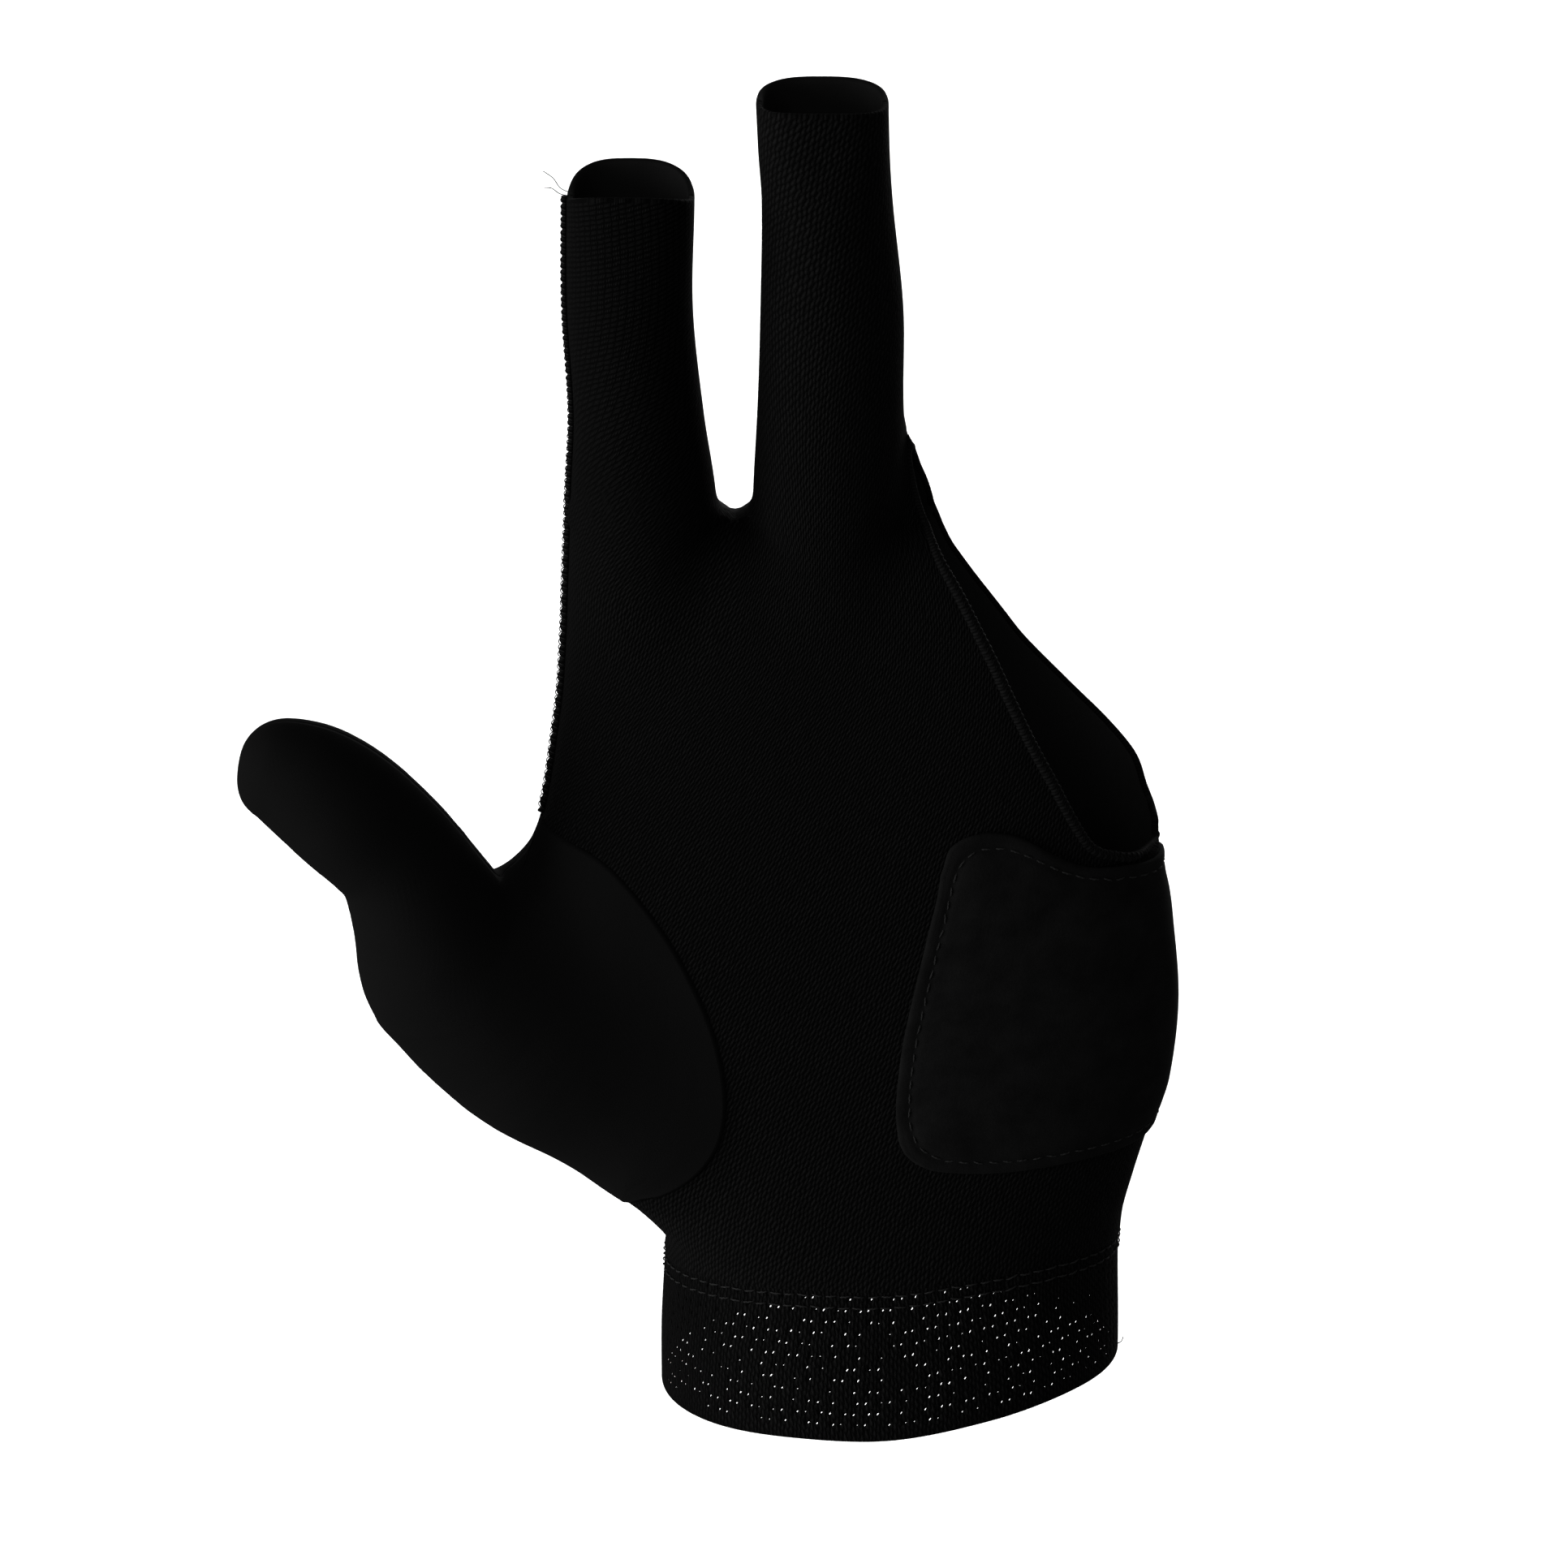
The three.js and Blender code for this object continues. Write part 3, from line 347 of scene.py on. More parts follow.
def smooth_step(x, low, high):
    """0 up to low, 1 from high on, and 3 s^2 - 2 s^3 between them, where s is the share of the way."""
    s = np.clip((x - low) / (high - low), 0, 1)
    return s * s * (3 - 2 * s)


def wrist_angle(p):
    """Angle round the wrist in degrees: 0 on the little finger's side, 90 on the palm, 180 on the thumb's
    side."""
    return np.degrees(np.arctan2(-p[..., 1], p[..., 0])) % 360


def crotch_height():
    """Height where the valley between the two fingers meets the middle plane, by halving."""
    low, high = 120.0, 160.0
    for halving in range(24):
        z = (low + high) / 2
        spot = np.array([along(VALLEY, np.array(z))[1], 0, z])
        low, high = (z, high) if hand_form(spot) < 0 else (low, z)
    return low


CROTCH_Z = crotch_height()


def clear_of_thumb(levels):
    return (levels > THUMB_TOP_Z) | (levels < THUMB_FOOT_Z)


def strip_start(levels, side):
    """Angle at which the index strip starts: the side seam, or a little way in under the thumb piece lower
    down."""
    edge = THUMB_BASE[::-1][:, [0, 1 if side == PALM else 2]]
    x = along(edge, levels)[:, 1] - TUCKED_UNDER
    angle = angle_of(INDEX_AXIS, x, levels, side)
    return np.where(clear_of_thumb(levels), 0.0, angle)


def strip_end(levels, side):
    """Angle at which the middle strip ends: the far side seam, or the middle of the rolled edge of the
    opening."""
    hem = PALM_HEM if side == PALM else BACK_HEM
    hem = np.vstack([(HEM_FOOT_Z, HEM_FOOT_X), hem])
    level = np.minimum(levels, hem[-1, 0])
    angle = angle_of(MIDDLE_AXIS, along(hem, level)[:, 1], level, side)
    closing = smooth_step(levels, hem[-1, 0], TUBE_CLOSED_ABOVE)
    angle = angle + (np.pi - angle) * closing
    return np.where(levels < HEM_FOOT_Z, np.pi, angle)


def strip_grid(axis, start, end, columns, side, levels, rim):
    """Grid of points on the form: row i at height level i, column j at an even share of the angle round the
    line. The lowest rows follow the wrist's joint, and the highest follow the rim, level - dip
    |cos(angle)|^3."""
    share = np.linspace(0, 1, columns + 1)
    angle = start[:, None] + (end - start)[:, None] * share
    direction = strip_direction(angle, side)
    level = levels[:, None] + 0 * angle
    low = 1 - smooth_step(levels, levels[0], JOINT_FELT_BELOW)[:, None]
    high = smooth_step(levels, CROTCH_Z + RIM_FELT_ABOVE_CROTCH, rim[0])[:, None]
    height = level - rim[1] * np.abs(np.cos(angle)) ** 3 * high
    grid = skin_point(line_at(axis, height), direction)
    wrist = levels < JOINT_FELT_BELOW
    for settling in range(3):
        joint = along(WRIST, wrist_angle(grid[wrist]))[..., 2]
        height = level[wrist] + (joint - levels[0]) * low[wrist]
        grid[wrist] = skin_point(line_at(axis, height), direction[wrist])
    return grid


def arc_length(grid):
    """Distance run along each row of a grid, from its first column."""
    steps = np.linalg.norm(np.diff(grid, axis=1), axis=-1)
    return np.hstack([np.zeros((len(grid), 1)), np.cumsum(steps, axis=1)])


def run_along(line):
    """Distance run along one line, from its first point to each of them."""
    return arc_length(line[None])[0]


def grid_faces(grids):
    """Four-cornered faces between the points of some grids, by the points' numbers in all the grids
    together."""
    faces = []
    offset = 0
    for g in grids:
        index = np.arange(g[..., 0].size).reshape(g.shape[:2]) + offset
        faces.append(np.stack([index[:-1, :-1], index[:-1, 1:], index[1:, 1:], index[1:, :-1]], axis=-1))
        offset += index.size
    return np.concatenate([face.reshape(-1, 4) for face in faces])


def split_pinched(quads, corners):
    """Faces whose two neighbouring corners have become one point turn into triangles, and those with less
    left are dropped. Gives the whole faces and their corners, then the triangles and theirs."""
    whole = np.ones(len(quads), bool)
    triangles, triangle_corners = [], []
    for k in range(4):
        pinched = whole & (quads[:, k] == quads[:, (k + 1) % 4])
        keep = [j for j in range(4) if j != k]
        whole &= ~pinched
        triangles.append(quads[pinched][:, keep])
        triangle_corners.append(corners[pinched][:, keep])
    triangles = np.concatenate(triangles)
    triangle_corners = np.concatenate(triangle_corners)
    sound = (triangles != np.roll(triangles, 1, axis=1)).all(axis=1)
    return quads[whole], corners[whole], triangles[sound], triangle_corners[sound]


def free_edges(quads, triangles, count):
    """The edges that only one face has, each as its two points in the order of that face."""
    sides = [quads[:, [k, (k + 1) % 4]] for k in range(4)]
    sides += [triangles[:, [k, (k + 1) % 3]] for k in range(3)]
    edges = np.concatenate(sides)
    undirected = np.sort(edges, axis=1) @ np.array([count, 1])
    which, uses = np.unique(undirected, return_inverse=True, return_counts=True)[1:]
    return edges[uses[which.ravel()] == 1]


# Points of the grids that lie closer than this are one corner of the wall, in millimetres
ONE_POINT = 0.002
# The inner face's painted light fades up inside the fingers, as painted shade deep in the tubes, over these
# heights and by this share
LINING_SHADE_FROM = 150
LINING_SHADE_FULL = 180
LINING_SHADE = 0.58
INSIDE_AT_RIM = 0.3


def cloth_wall(name, grids, cloth_maps, lift, thickness, marks=None, rim_steps=3, sewn=None):
    """A closed wall of cloth. Its outer face is the grids' points moved `lift` along the form's normal, its
    inner face lies `thickness` deeper, and a half circle joins the two round every free edge. lift may be
    an array of one number for each point. cloth_maps are the points' places in the flat cloth, and marks
    are named numbers for each point. sewn is 1 at the points where the edge is sewn to another piece's, and
    there it stays flat. The mark called inside is 1 on the inner face, 0.3 on the rim, and less up the
    fingers. It mixes in the inner face's colour, which is painted light inside the openings where it is
    lighter than the outer face, and its fading up the fingers is painted shade deep in the tubes."""
    points = np.concatenate([g.reshape(-1, 3) for g in grids])
    flat = np.concatenate([m.reshape(-1, 2) for m in cloth_maps])
    lift = np.broadcast_to(lift, len(points))
    corners = grid_faces(grids)
    keys = np.round(points / ONE_POINT).astype(np.int64)
    first, merged = np.unique(keys, axis=0, return_index=True, return_inverse=True)[1:]
    merged = merged.ravel()
    skin = points[first]
    normal = outward(skin)
    quads = merged[corners]
    a, b, c, d = (skin[quads[:, k]] for k in range(4))
    facing = (np.cross(c - a, d - b) * normal[quads[:, 0]]).sum()
    if facing < 0:
        quads = quads[:, ::-1]
        corners = corners[:, ::-1]
    quads, corners, triangles, triangle_corners = split_pinched(quads, corners)
    count = len(skin)
    free = free_edges(quads, triangles, count)
    lift = lift[first][:, None]
    outer = skin + normal * lift
    inner = skin + normal * (lift - thickness)
    away = np.zeros_like(skin)
    tangent = skin[free[:, 1]] - skin[free[:, 0]]
    for end in (0, 1):
        np.add.at(away, free[:, end], np.cross(tangent, normal[free[:, end]]))
    rim = np.unique(free)
    away = unit(away[rim])
    round_edge = 1.0 if sewn is None else 1 - sewn[first][rim][:, None]
    place = np.full(count, -1)
    place[rim] = np.arange(len(rim))
    rings = [free]
    verts = [outer, inner]
    start = 2 * count
    for k in range(1, rim_steps + 1):
        turn = np.pi * k / (rim_steps + 1)
        middle = (outer[rim] + inner[rim]) / 2
        half = (outer[rim] - inner[rim]) / 2
        verts.append(middle + half * np.cos(turn) + away * thickness / 2 * np.sin(turn) * round_edge)
        rings.append(place[free] + start)
        start += len(rim)
    rings.append(free + count)
    rim_quads = []
    for near, far in zip(rings[:-1], rings[1:]):
        rim_quads.append(np.stack([near[:, 1], near[:, 0], far[:, 0], far[:, 1]], axis=-1))
    rim_quads = np.concatenate(rim_quads)
    all_quads = np.concatenate([quads, quads[:, ::-1] + count, rim_quads])
    all_triangles = np.concatenate([triangles, triangles[:, ::-1] + count])
    edge_flat = flat[first]
    rim_flat = np.tile(edge_flat[free][:, [1, 0, 0, 1]], (rim_steps + 1, 1, 1))
    quad_flat = np.concatenate([flat[corners], flat[corners[:, ::-1]], rim_flat])
    triangle_flat = np.concatenate([flat[triangle_corners], flat[triangle_corners[:, ::-1]]])
    marks = {} if marks is None else marks
    owner = np.concatenate([np.arange(count), np.arange(count), np.tile(rim, rim_steps)])
    vertex_marks = {key: value[first][owner] for key, value in marks.items()}
    inside = np.concatenate([np.zeros(count), np.ones(count), np.full(len(rim) * rim_steps, INSIDE_AT_RIM)])
    lining_shade = LINING_SHADE * smooth_step(skin[owner][:, 2], LINING_SHADE_FROM, LINING_SHADE_FULL)
    vertex_marks["inside"] = inside * (1 - lining_shade)
    flats = np.concatenate([quad_flat.reshape(-1, 2), triangle_flat.reshape(-1, 2)])
    return mesh_object(name, np.concatenate(verts), [all_quads, all_triangles], flats, vertex_marks)


def placed(name, data):
    """A new object with the given data, linked to the scene."""
    made = bpy.data.objects.new(name, data)
    bpy.context.collection.objects.link(made)
    return made


def mesh_object(name, points, faces, flats, marks=None):
    """Puts points in millimetres and arrays of faces into a mesh in metres, with smooth faces. flats are
    the places of the faces' corners in the flat cloth, and marks are named numbers for each point."""
    mesh = bpy.data.meshes.new(name)
    listed = []
    for block in faces:
        listed.extend(block.tolist())
    mesh.from_pydata((points * 0.001).tolist(), [], listed)
    mesh.polygons.foreach_set("use_smooth", [True] * len(mesh.polygons))
    layer = mesh.uv_layers.new(name="cloth")
    layer.data.foreach_set("uv", flats.astype(np.float32).ravel())
    for key, value in (marks or {}).items():
        mark = mesh.attributes.new(key, "FLOAT", "POINT")
        mark.data.foreach_set("value", value.astype(np.float32))
    mesh.validate()
    mesh.update()
    return placed(name, mesh)


def srgb(code):
    """Linear colour of an sRGB hex value: c / 12.92 up to 0.04045, and above it ((c + 0.055) / 1.055)^2.4."""
    c = np.array([int(code[k:k + 2], 16) / 255 for k in (1, 3, 5)])
    linear = np.where(c > 0.04045, ((c + 0.055) / 1.055) ** 2.4, c / 12.92)
    return (*linear.tolist(), 1.0)


def add_node(tree, kind, inputs=(), **settings):
    """Adds one node to a material. inputs are its sockets' values or the sockets linked to them, by name or
    number, and settings are its own properties."""
    node = tree.nodes.new(kind)
    for key, value in settings.items():
        setattr(node, key, value)
    for key, value in dict(inputs).items():
        if isinstance(value, bpy.types.NodeSocket):
            tree.links.new(value, node.inputs[key])
        else:
            node.inputs[key].default_value = value
    return node.outputs[0] if kind != "ShaderNodeSeparateXYZ" else node.outputs


FIBRE_IOR = 1.46


def new_finish(name, roughness, specular):
    """A material with one Principled shader whose plain numbers stay on its own sockets."""
    made = bpy.data.materials.new(name)
    made.use_nodes = True
    shader = made.node_tree.nodes["Principled BSDF"]
    shader.inputs["Roughness"].default_value = roughness
    shader.inputs["IOR"].default_value = FIBRE_IOR
    shader.inputs["Specular IOR Level"].default_value = specular
    return made, made.node_tree, shader


def set_looks(tree, shader, shade, dark, light, height, depth, inside=None):
    """Links the colour, mixed from dark to light by shade, and the relief, `depth` millimetres high, to a
    shader. inside is the colour of the cloth's inner face, which has no nap. Where it is lighter than the
    outer colour it is painted light, standing in for light that reaches inside the openings."""
    mix = add_node(tree, "ShaderNodeMix", {0: shade}, data_type="RGBA", clamp_factor=True).node
    mix.inputs[6].default_value = srgb(dark)
    mix.inputs[7].default_value = srgb(light)
    if inside is not None:
        mark = add_node(tree, "ShaderNodeAttribute", attribute_name="inside").node.outputs["Fac"]
        lining = add_node(tree, "ShaderNodeMix", {0: mark, 6: mix.outputs[2]}, data_type="RGBA").node
        lining.inputs[7].default_value = srgb(inside)
        mix = lining
    tree.links.new(mix.outputs[2], shader.inputs["Base Color"])
    bump = add_node(tree, "ShaderNodeBump", {"Height": height, "Distance": depth * 0.001, "Strength": 1.0})
    tree.links.new(bump, shader.inputs["Normal"])


# Nylon and elastane weft knit: black, without gloss. Fine ribs stand 0.4 to 0.7 mm apart as the cloth is
# stretched. Each is broken into short slanted stitches, staggered by half from rib to rib, some fuller than
# others. On the index finger the cloth is stretched the other way and reads as basket work, in blocks of
# 1.1 by 0.75 mm whose rows rise to the right. The relief is drawn a little deeper than the thread is thick,
# so that it shows.
RIB_SPACING = 0.6
STITCH_LENGTH = 1.25
STITCH_SLANT = 0.35
BLOCK_WIDTH = 1.1
BLOCK_HEIGHT = 0.75
STANDING_IN_BLOCK = 3
LYING_IN_BLOCK = 2
KNIT_WALL = 1.0
KNIT_DARK = "#010101"
KNIT_LIGHT = "#141414"
KNIT_RELIEF = 0.17


def hump(tree, turns):
    """0.5 - 0.5 cos(2 pi turns): a rounded ridge for each whole turn."""
    angle = add_node(tree, "ShaderNodeMath", {0: turns, 1: 2 * np.pi}, operation="MULTIPLY")
    wave = add_node(tree, "ShaderNodeMath", {0: angle}, operation="COSINE")
    return add_node(tree, "ShaderNodeMath", {0: wave, 1: -0.5, 2: 0.5}, operation="MULTIPLY_ADD")


def cell_value(tree, across, up):
    """A number from 0 to 1 that is random for each whole cell of two running counts."""
    column = add_node(tree, "ShaderNodeMath", {0: across}, operation="FLOOR")
    row = add_node(tree, "ShaderNodeMath", {0: up}, operation="FLOOR")
    cell = add_node(tree, "ShaderNodeCombineXYZ", {0: column, 1: row, 2: 0.5})
    return add_node(tree, "ShaderNodeTexWhiteNoise", {"Vector": cell}, noise_dimensions="3D")


def knit_height(tree):
    """Height of the knit, mixed from ribs to basket work by the mark called basket. A rib is a hump across
    it, made broader by a power, times 0.4 + 0.6 f for each stitch, where f is the stitch's own hump times
    its random fullness from 0.5 to 1. A block of the basket work is two lying or three standing threads,
    with a gap all round that is wider between the rows."""
    place = add_node(tree, "ShaderNodeUVMap", uv_map="cloth")
    parts = add_node(tree, "ShaderNodeSeparateXYZ", {0: place})
    noise = add_node(tree, "ShaderNodeTexNoise", {"Vector": place, "Scale": 0.7, "Detail": 3.0})
    wander = add_node(tree, "ShaderNodeMath", {0: noise, 1: 1.3, 2: -0.65}, operation="MULTIPLY_ADD")
    counted = {0: parts[0], 1: 1 / RIB_SPACING, 2: wander}
    rib = add_node(tree, "ShaderNodeMath", counted, operation="MULTIPLY_ADD")
    whole_ribs = add_node(tree, "ShaderNodeMath", {0: rib}, operation="FLOOR")
    step = add_node(tree, "ShaderNodeMath", {0: whole_ribs, 1: 0.5}, operation="MULTIPLY")
    counted = {0: parts[1], 1: 1 / STITCH_LENGTH, 2: step}
    stitch = add_node(tree, "ShaderNodeMath", counted, operation="MULTIPLY_ADD")
    stitch = add_node(tree, "ShaderNodeMath", {0: stitch, 1: wander}, operation="ADD")
    chance = cell_value(tree, rib, stitch)
    fullness = add_node(tree, "ShaderNodeMath", {0: chance, 1: 0.5, 2: 0.5}, operation="MULTIPLY_ADD")
    swell = hump(tree, stitch)
    full = add_node(tree, "ShaderNodeMath", {0: swell, 1: fullness}, operation="MULTIPLY")
    full = add_node(tree, "ShaderNodeMath", {0: full, 1: 0.6, 2: 0.4}, operation="MULTIPLY_ADD")
    up_stitch = add_node(tree, "ShaderNodeMath", {0: stitch}, operation="FRACT")
    slanted = {0: up_stitch, 1: -STITCH_SLANT, 2: rib}
    leaning = add_node(tree, "ShaderNodeMath", slanted, operation="MULTIPLY_ADD")
    ridge = hump(tree, leaning)
    ridge = add_node(tree, "ShaderNodeMath", {0: ridge, 1: 0.6}, operation="POWER")
    ribs = add_node(tree, "ShaderNodeMath", {0: ridge, 1: full}, operation="MULTIPLY")

    rising = add_node(tree, "ShaderNodeAttribute", attribute_name="row").node.outputs["Fac"]
    small_wander = add_node(tree, "ShaderNodeMath", {0: wander, 1: 0.5}, operation="MULTIPLY")
    counted = {0: parts[0], 1: 1 / BLOCK_WIDTH, 2: small_wander}
    across = add_node(tree, "ShaderNodeMath", counted, operation="MULTIPLY_ADD")
    counted = {0: rising, 1: 1 / BLOCK_HEIGHT, 2: small_wander}
    up = add_node(tree, "ShaderNodeMath", counted, operation="MULTIPLY_ADD")
    chance = cell_value(tree, across, up)
    way = add_node(tree, "ShaderNodeMath", {0: chance, 1: 0.5}, operation="GREATER_THAN")
    lying = add_node(tree, "ShaderNodeMath", {0: up, 1: LYING_IN_BLOCK}, operation="MULTIPLY")
    lying = hump(tree, lying)
    standing = add_node(tree, "ShaderNodeMath", {0: across, 1: STANDING_IN_BLOCK}, operation="MULTIPLY")
    standing = hump(tree, standing)
    threads = add_node(tree, "ShaderNodeMix", {0: way, 2: lying, 3: standing}, data_type="FLOAT")
    threads = add_node(tree, "ShaderNodeMath", {0: threads, 1: 0.45, 2: 0.5}, operation="MULTIPLY_ADD")
    row_hump = hump(tree, up)
    row_hump = add_node(tree, "ShaderNodeMath", {0: row_hump, 1: 0.8}, operation="POWER")
    block_hump = hump(tree, across)
    block_hump = add_node(tree, "ShaderNodeMath", {0: block_hump, 1: 0.2}, operation="POWER")
    blocks = add_node(tree, "ShaderNodeMath", {0: threads, 1: row_hump}, operation="MULTIPLY")
    blocks = add_node(tree, "ShaderNodeMath", {0: blocks, 1: block_hump}, operation="MULTIPLY")

    basket = add_node(tree, "ShaderNodeAttribute", attribute_name="basket").node.outputs["Fac"]
    mixed = add_node(tree, "ShaderNodeMix", {0: basket, 2: ribs, 3: blocks}, data_type="FLOAT")
    fuzz = add_node(tree, "ShaderNodeTexNoise", {"Vector": place, "Scale": 3.2, "Detail": 2.0})
    return add_node(tree, "ShaderNodeMath", {0: fuzz, 1: 0.3, 2: mixed}, operation="MULTIPLY_ADD")


def knit_shade(tree, height):
    """The gaps between the threads are painted black and the threads' crowns lighter: painted shade and light
    of the knit's relief, besides its bump. Along the left edge of the hand and of each finger, the side that
    faces the light, a mark paints the knit darker: painted shade."""
    # Painted light and shade: the threads' crowns are painted lighter and the gaps black, besides the bump
    shade = add_node(tree, "ShaderNodeMapRange", {0: height, 1: 0.25, 2: 1.05, 3: 0.0, 4: 1.0})
    left_edge_shade = add_node(tree, "ShaderNodeAttribute", attribute_name="left_edge_shade").node.outputs["Fac"]
    unshaded = add_node(tree, "ShaderNodeMath", {0: left_edge_shade, 1: -0.68, 2: 1.0}, operation="MULTIPLY_ADD")
    return add_node(tree, "ShaderNodeMath", {0: shade, 1: unshaded}, operation="MULTIPLY")


def knit_finish(name, inside=None):
    made, tree, shader = new_finish(name, 0.92, 0.05)
    height = knit_height(tree)
    set_looks(tree, shader, knit_shade(tree, height), KNIT_DARK, KNIT_LIGHT, height, KNIT_RELIEF, inside)
    return made


def stretch_cloth_finish():
    """Warp-knitted stretch cloth: smooth and close, with faint wales 0.4 mm apart and a dull face."""
    made, tree, shader = new_finish("black stretch cloth", 0.85, 0.06)
    place = add_node(tree, "ShaderNodeUVMap", uv_map="cloth")
    parts = add_node(tree, "ShaderNodeSeparateXYZ", {0: place})
    turn = add_node(tree, "ShaderNodeMath", {0: parts[0], 1: 2 * np.pi / 0.4}, operation="MULTIPLY")
    wale = add_node(tree, "ShaderNodeMath", {0: turn}, operation="COSINE")
    cloud = add_node(tree, "ShaderNodeTexNoise", {"Vector": place, "Scale": 0.12, "Detail": 3.0})
    height = add_node(tree, "ShaderNodeMath", {0: wale, 1: 0.15, 2: cloud}, operation="MULTIPLY_ADD")
    # Painted light: the inner face's grey, #242424, stands in for light reaching inside the finger openings
    set_looks(tree, shader, height, "#060606", "#0b0b0b", height, 0.02, "#242424")
    return made


# How the knit is stretched up the palm and then up each finger: z, how far the ribs lean from upright up
# the index finger, where 1 is 45 degrees and plus leans the top to the right, how far apart they stand, and
# the same two up the middle finger
STRETCH = np.array([
    (20, 0.05, 0.62, 0.05, 0.62),
    (45, 0.26, 0.6, 0.26, 0.6),
    (70, 0.3, 0.56, 0.3, 0.56),
    (92, 0.32, 0.51, 0.32, 0.51),
    (108, 0.33, 0.46, 0.33, 0.46),
    (124, 0.45, 0.46, 0.12, 0.4),
    (137, 0.75, 0.52, 0.0, 0.38),
    (150, 0.5, 0.6, 0.04, 0.46),
    (180, 0.0, 0.6, 0.14, 0.7),
    (205, 0.0, 0.6, 0.16, 0.72),
])
# How steeply the rows of the basket work rise to the right up the index finger: z, rise
ROW_RISE = np.array([(120, 0.85), (145, 0.72), (160, 0.42), (175, 0.3), (200, 0.27)])


def upright_run(grid, axis, levels):
    """Distance run along each row, counted from where the row passes in front of the line `axis`, plus the
    line's x there. Over the flat of the palm it is close to x."""
    run = arc_length(grid)
    x = grid[..., 0]
    middle = along(axis, levels)[:, 1]
    row = np.arange(len(x))
    near = np.clip((x < middle[:, None]).sum(axis=1), 1, x.shape[1] - 1)
    share = (middle - x[row, near - 1]) / (x[row, near] - x[row, near - 1])
    start = run[row, near - 1] + share * (run[row, near] - run[row, near - 1])
    return run - start[:, None] + middle[:, None]


# Over the flat of the palm the ribs are counted from the glove's own middle, and above these heights from
# each finger's. The two strips' maps are brought together over so much cloth to either side of their meeting.
OWN_MIDDLE_FROM = 110
OWN_MIDDLE_FULL = 130
MEETING_WIDTH = 15
# Basket work starts and is full at these heights. Painted shade darkens the knit in a margin of these widths
# along the left edges.
BASKET_FROM = 134
BASKET_FULL = 152
EDGE_SHADE_MARGIN = 20
FINGER_EDGE_SHADE_MARGIN = 9
# Columns of faces round the index finger's and the middle finger's half
INDEX_COLUMNS = 40
MIDDLE_COLUMNS = 56


def strip_pair(side):
    """Two strips of points side by side up to the crotch between the fingers, with a half tube on each above
    it, and the height levels of their rows. Both have the same levels below the crotch and share the points
    there."""
    near_crotch = CROTCH_Z - np.array([0.02, 0.1, 0.25, 0.5, 0.8, 1.2])
    below_opening = np.linspace(PANEL_FOOT, HEM_FOOT_Z - 0.1, 82)
    beside_opening = np.linspace(HEM_FOOT_Z + 0.5, CROTCH_Z - 1.7, 62)
    below = np.sort(np.concatenate([below_opening, beside_opening, near_crotch]))
    joined = len(below)
    index_levels = np.concatenate([below, np.linspace(CROTCH_Z, INDEX_RIM[0], 58)])
    middle_levels = np.concatenate([below, np.linspace(CROTCH_Z, MIDDLE_RIM[0], 72)])
    valley = face_point(along(VALLEY, below)[:, 1], below, side)
    valley_x = valley[:, 0]
    valley_y = np.abs(valley[:, 1])
    to_valley = np.full(len(index_levels), np.pi)
    to_valley[:joined] = np.arctan2(valley_y, along(INDEX_AXIS, below)[:, 1] - valley_x)
    from_valley = np.zeros(len(middle_levels))
    from_valley[:joined] = np.arctan2(valley_y, along(MIDDLE_AXIS, below)[:, 1] - valley_x)
    start = strip_start(index_levels, side)
    end = strip_end(middle_levels, side)
    left = strip_grid(INDEX_AXIS, start, to_valley, INDEX_COLUMNS, side, index_levels, INDEX_RIM)
    right = strip_grid(MIDDLE_AXIS, from_valley, end, MIDDLE_COLUMNS, side, middle_levels, MIDDLE_RIM)
    shared = (left[:joined, -1] + right[:joined, 0]) / 2
    left[:joined, -1] = shared
    right[:joined, 0] = shared
    crotch = np.array([along(VALLEY, np.array(CROTCH_Z))[1], 0, CROTCH_Z])
    left[joined, -1] = crotch
    right[joined, 0] = crotch
    left[:, 0, 1] = np.where(clear_of_thumb(index_levels), 0, left[:, 0, 1])
    return left, right, index_levels, middle_levels, joined


def rib_map(grid, levels, axis, lean, spacing):
    """A strip's places in the flat cloth: ribs stand at whole numbers of spread (x - middle) - slip, where
    slip gathers spread times the lean up from the wrist. lean and spacing are columns of STRETCH."""
    heights = np.arange(0.0, 210.0)
    stretch = along(STRETCH, heights)
    spread = RIB_SPACING / (stretch[:, spacing] * np.hypot(1, stretch[:, lean]))
    middle = along(axis, heights)[:, 1] * smooth_step(heights, OWN_MIDDLE_FROM, OWN_MIDDLE_FULL)
    slip = np.cumsum(spread * (stretch[:, lean] - np.gradient(middle)))
    z = grid[..., 2]
    across = upright_run(grid, axis, levels) - np.interp(z, heights, middle)
    across = np.interp(z, heights, spread) * across - np.interp(z, heights, slip)
    return np.stack([across, z], axis=-1)


def bring_together(maps, left, right, joined):
    """Shares what the two strips' maps differ by, where the strips meet, between the cloth to either side."""
    step = (maps[0][:joined, -1, 0] - maps[1][:joined, 0, 0]) / 2
    for number, (grid, sign) in enumerate(((left, -1), (right, 1))):
        run = arc_length(grid)
        from_meeting = run[:, -1:] - run if sign < 0 else run
        all_steps = np.concatenate([step, np.full(len(grid) - joined, step[-1])])
        maps[number][..., 0] += sign * all_steps[:, None] * smooth_step(from_meeting, MEETING_WIDTH, 0)


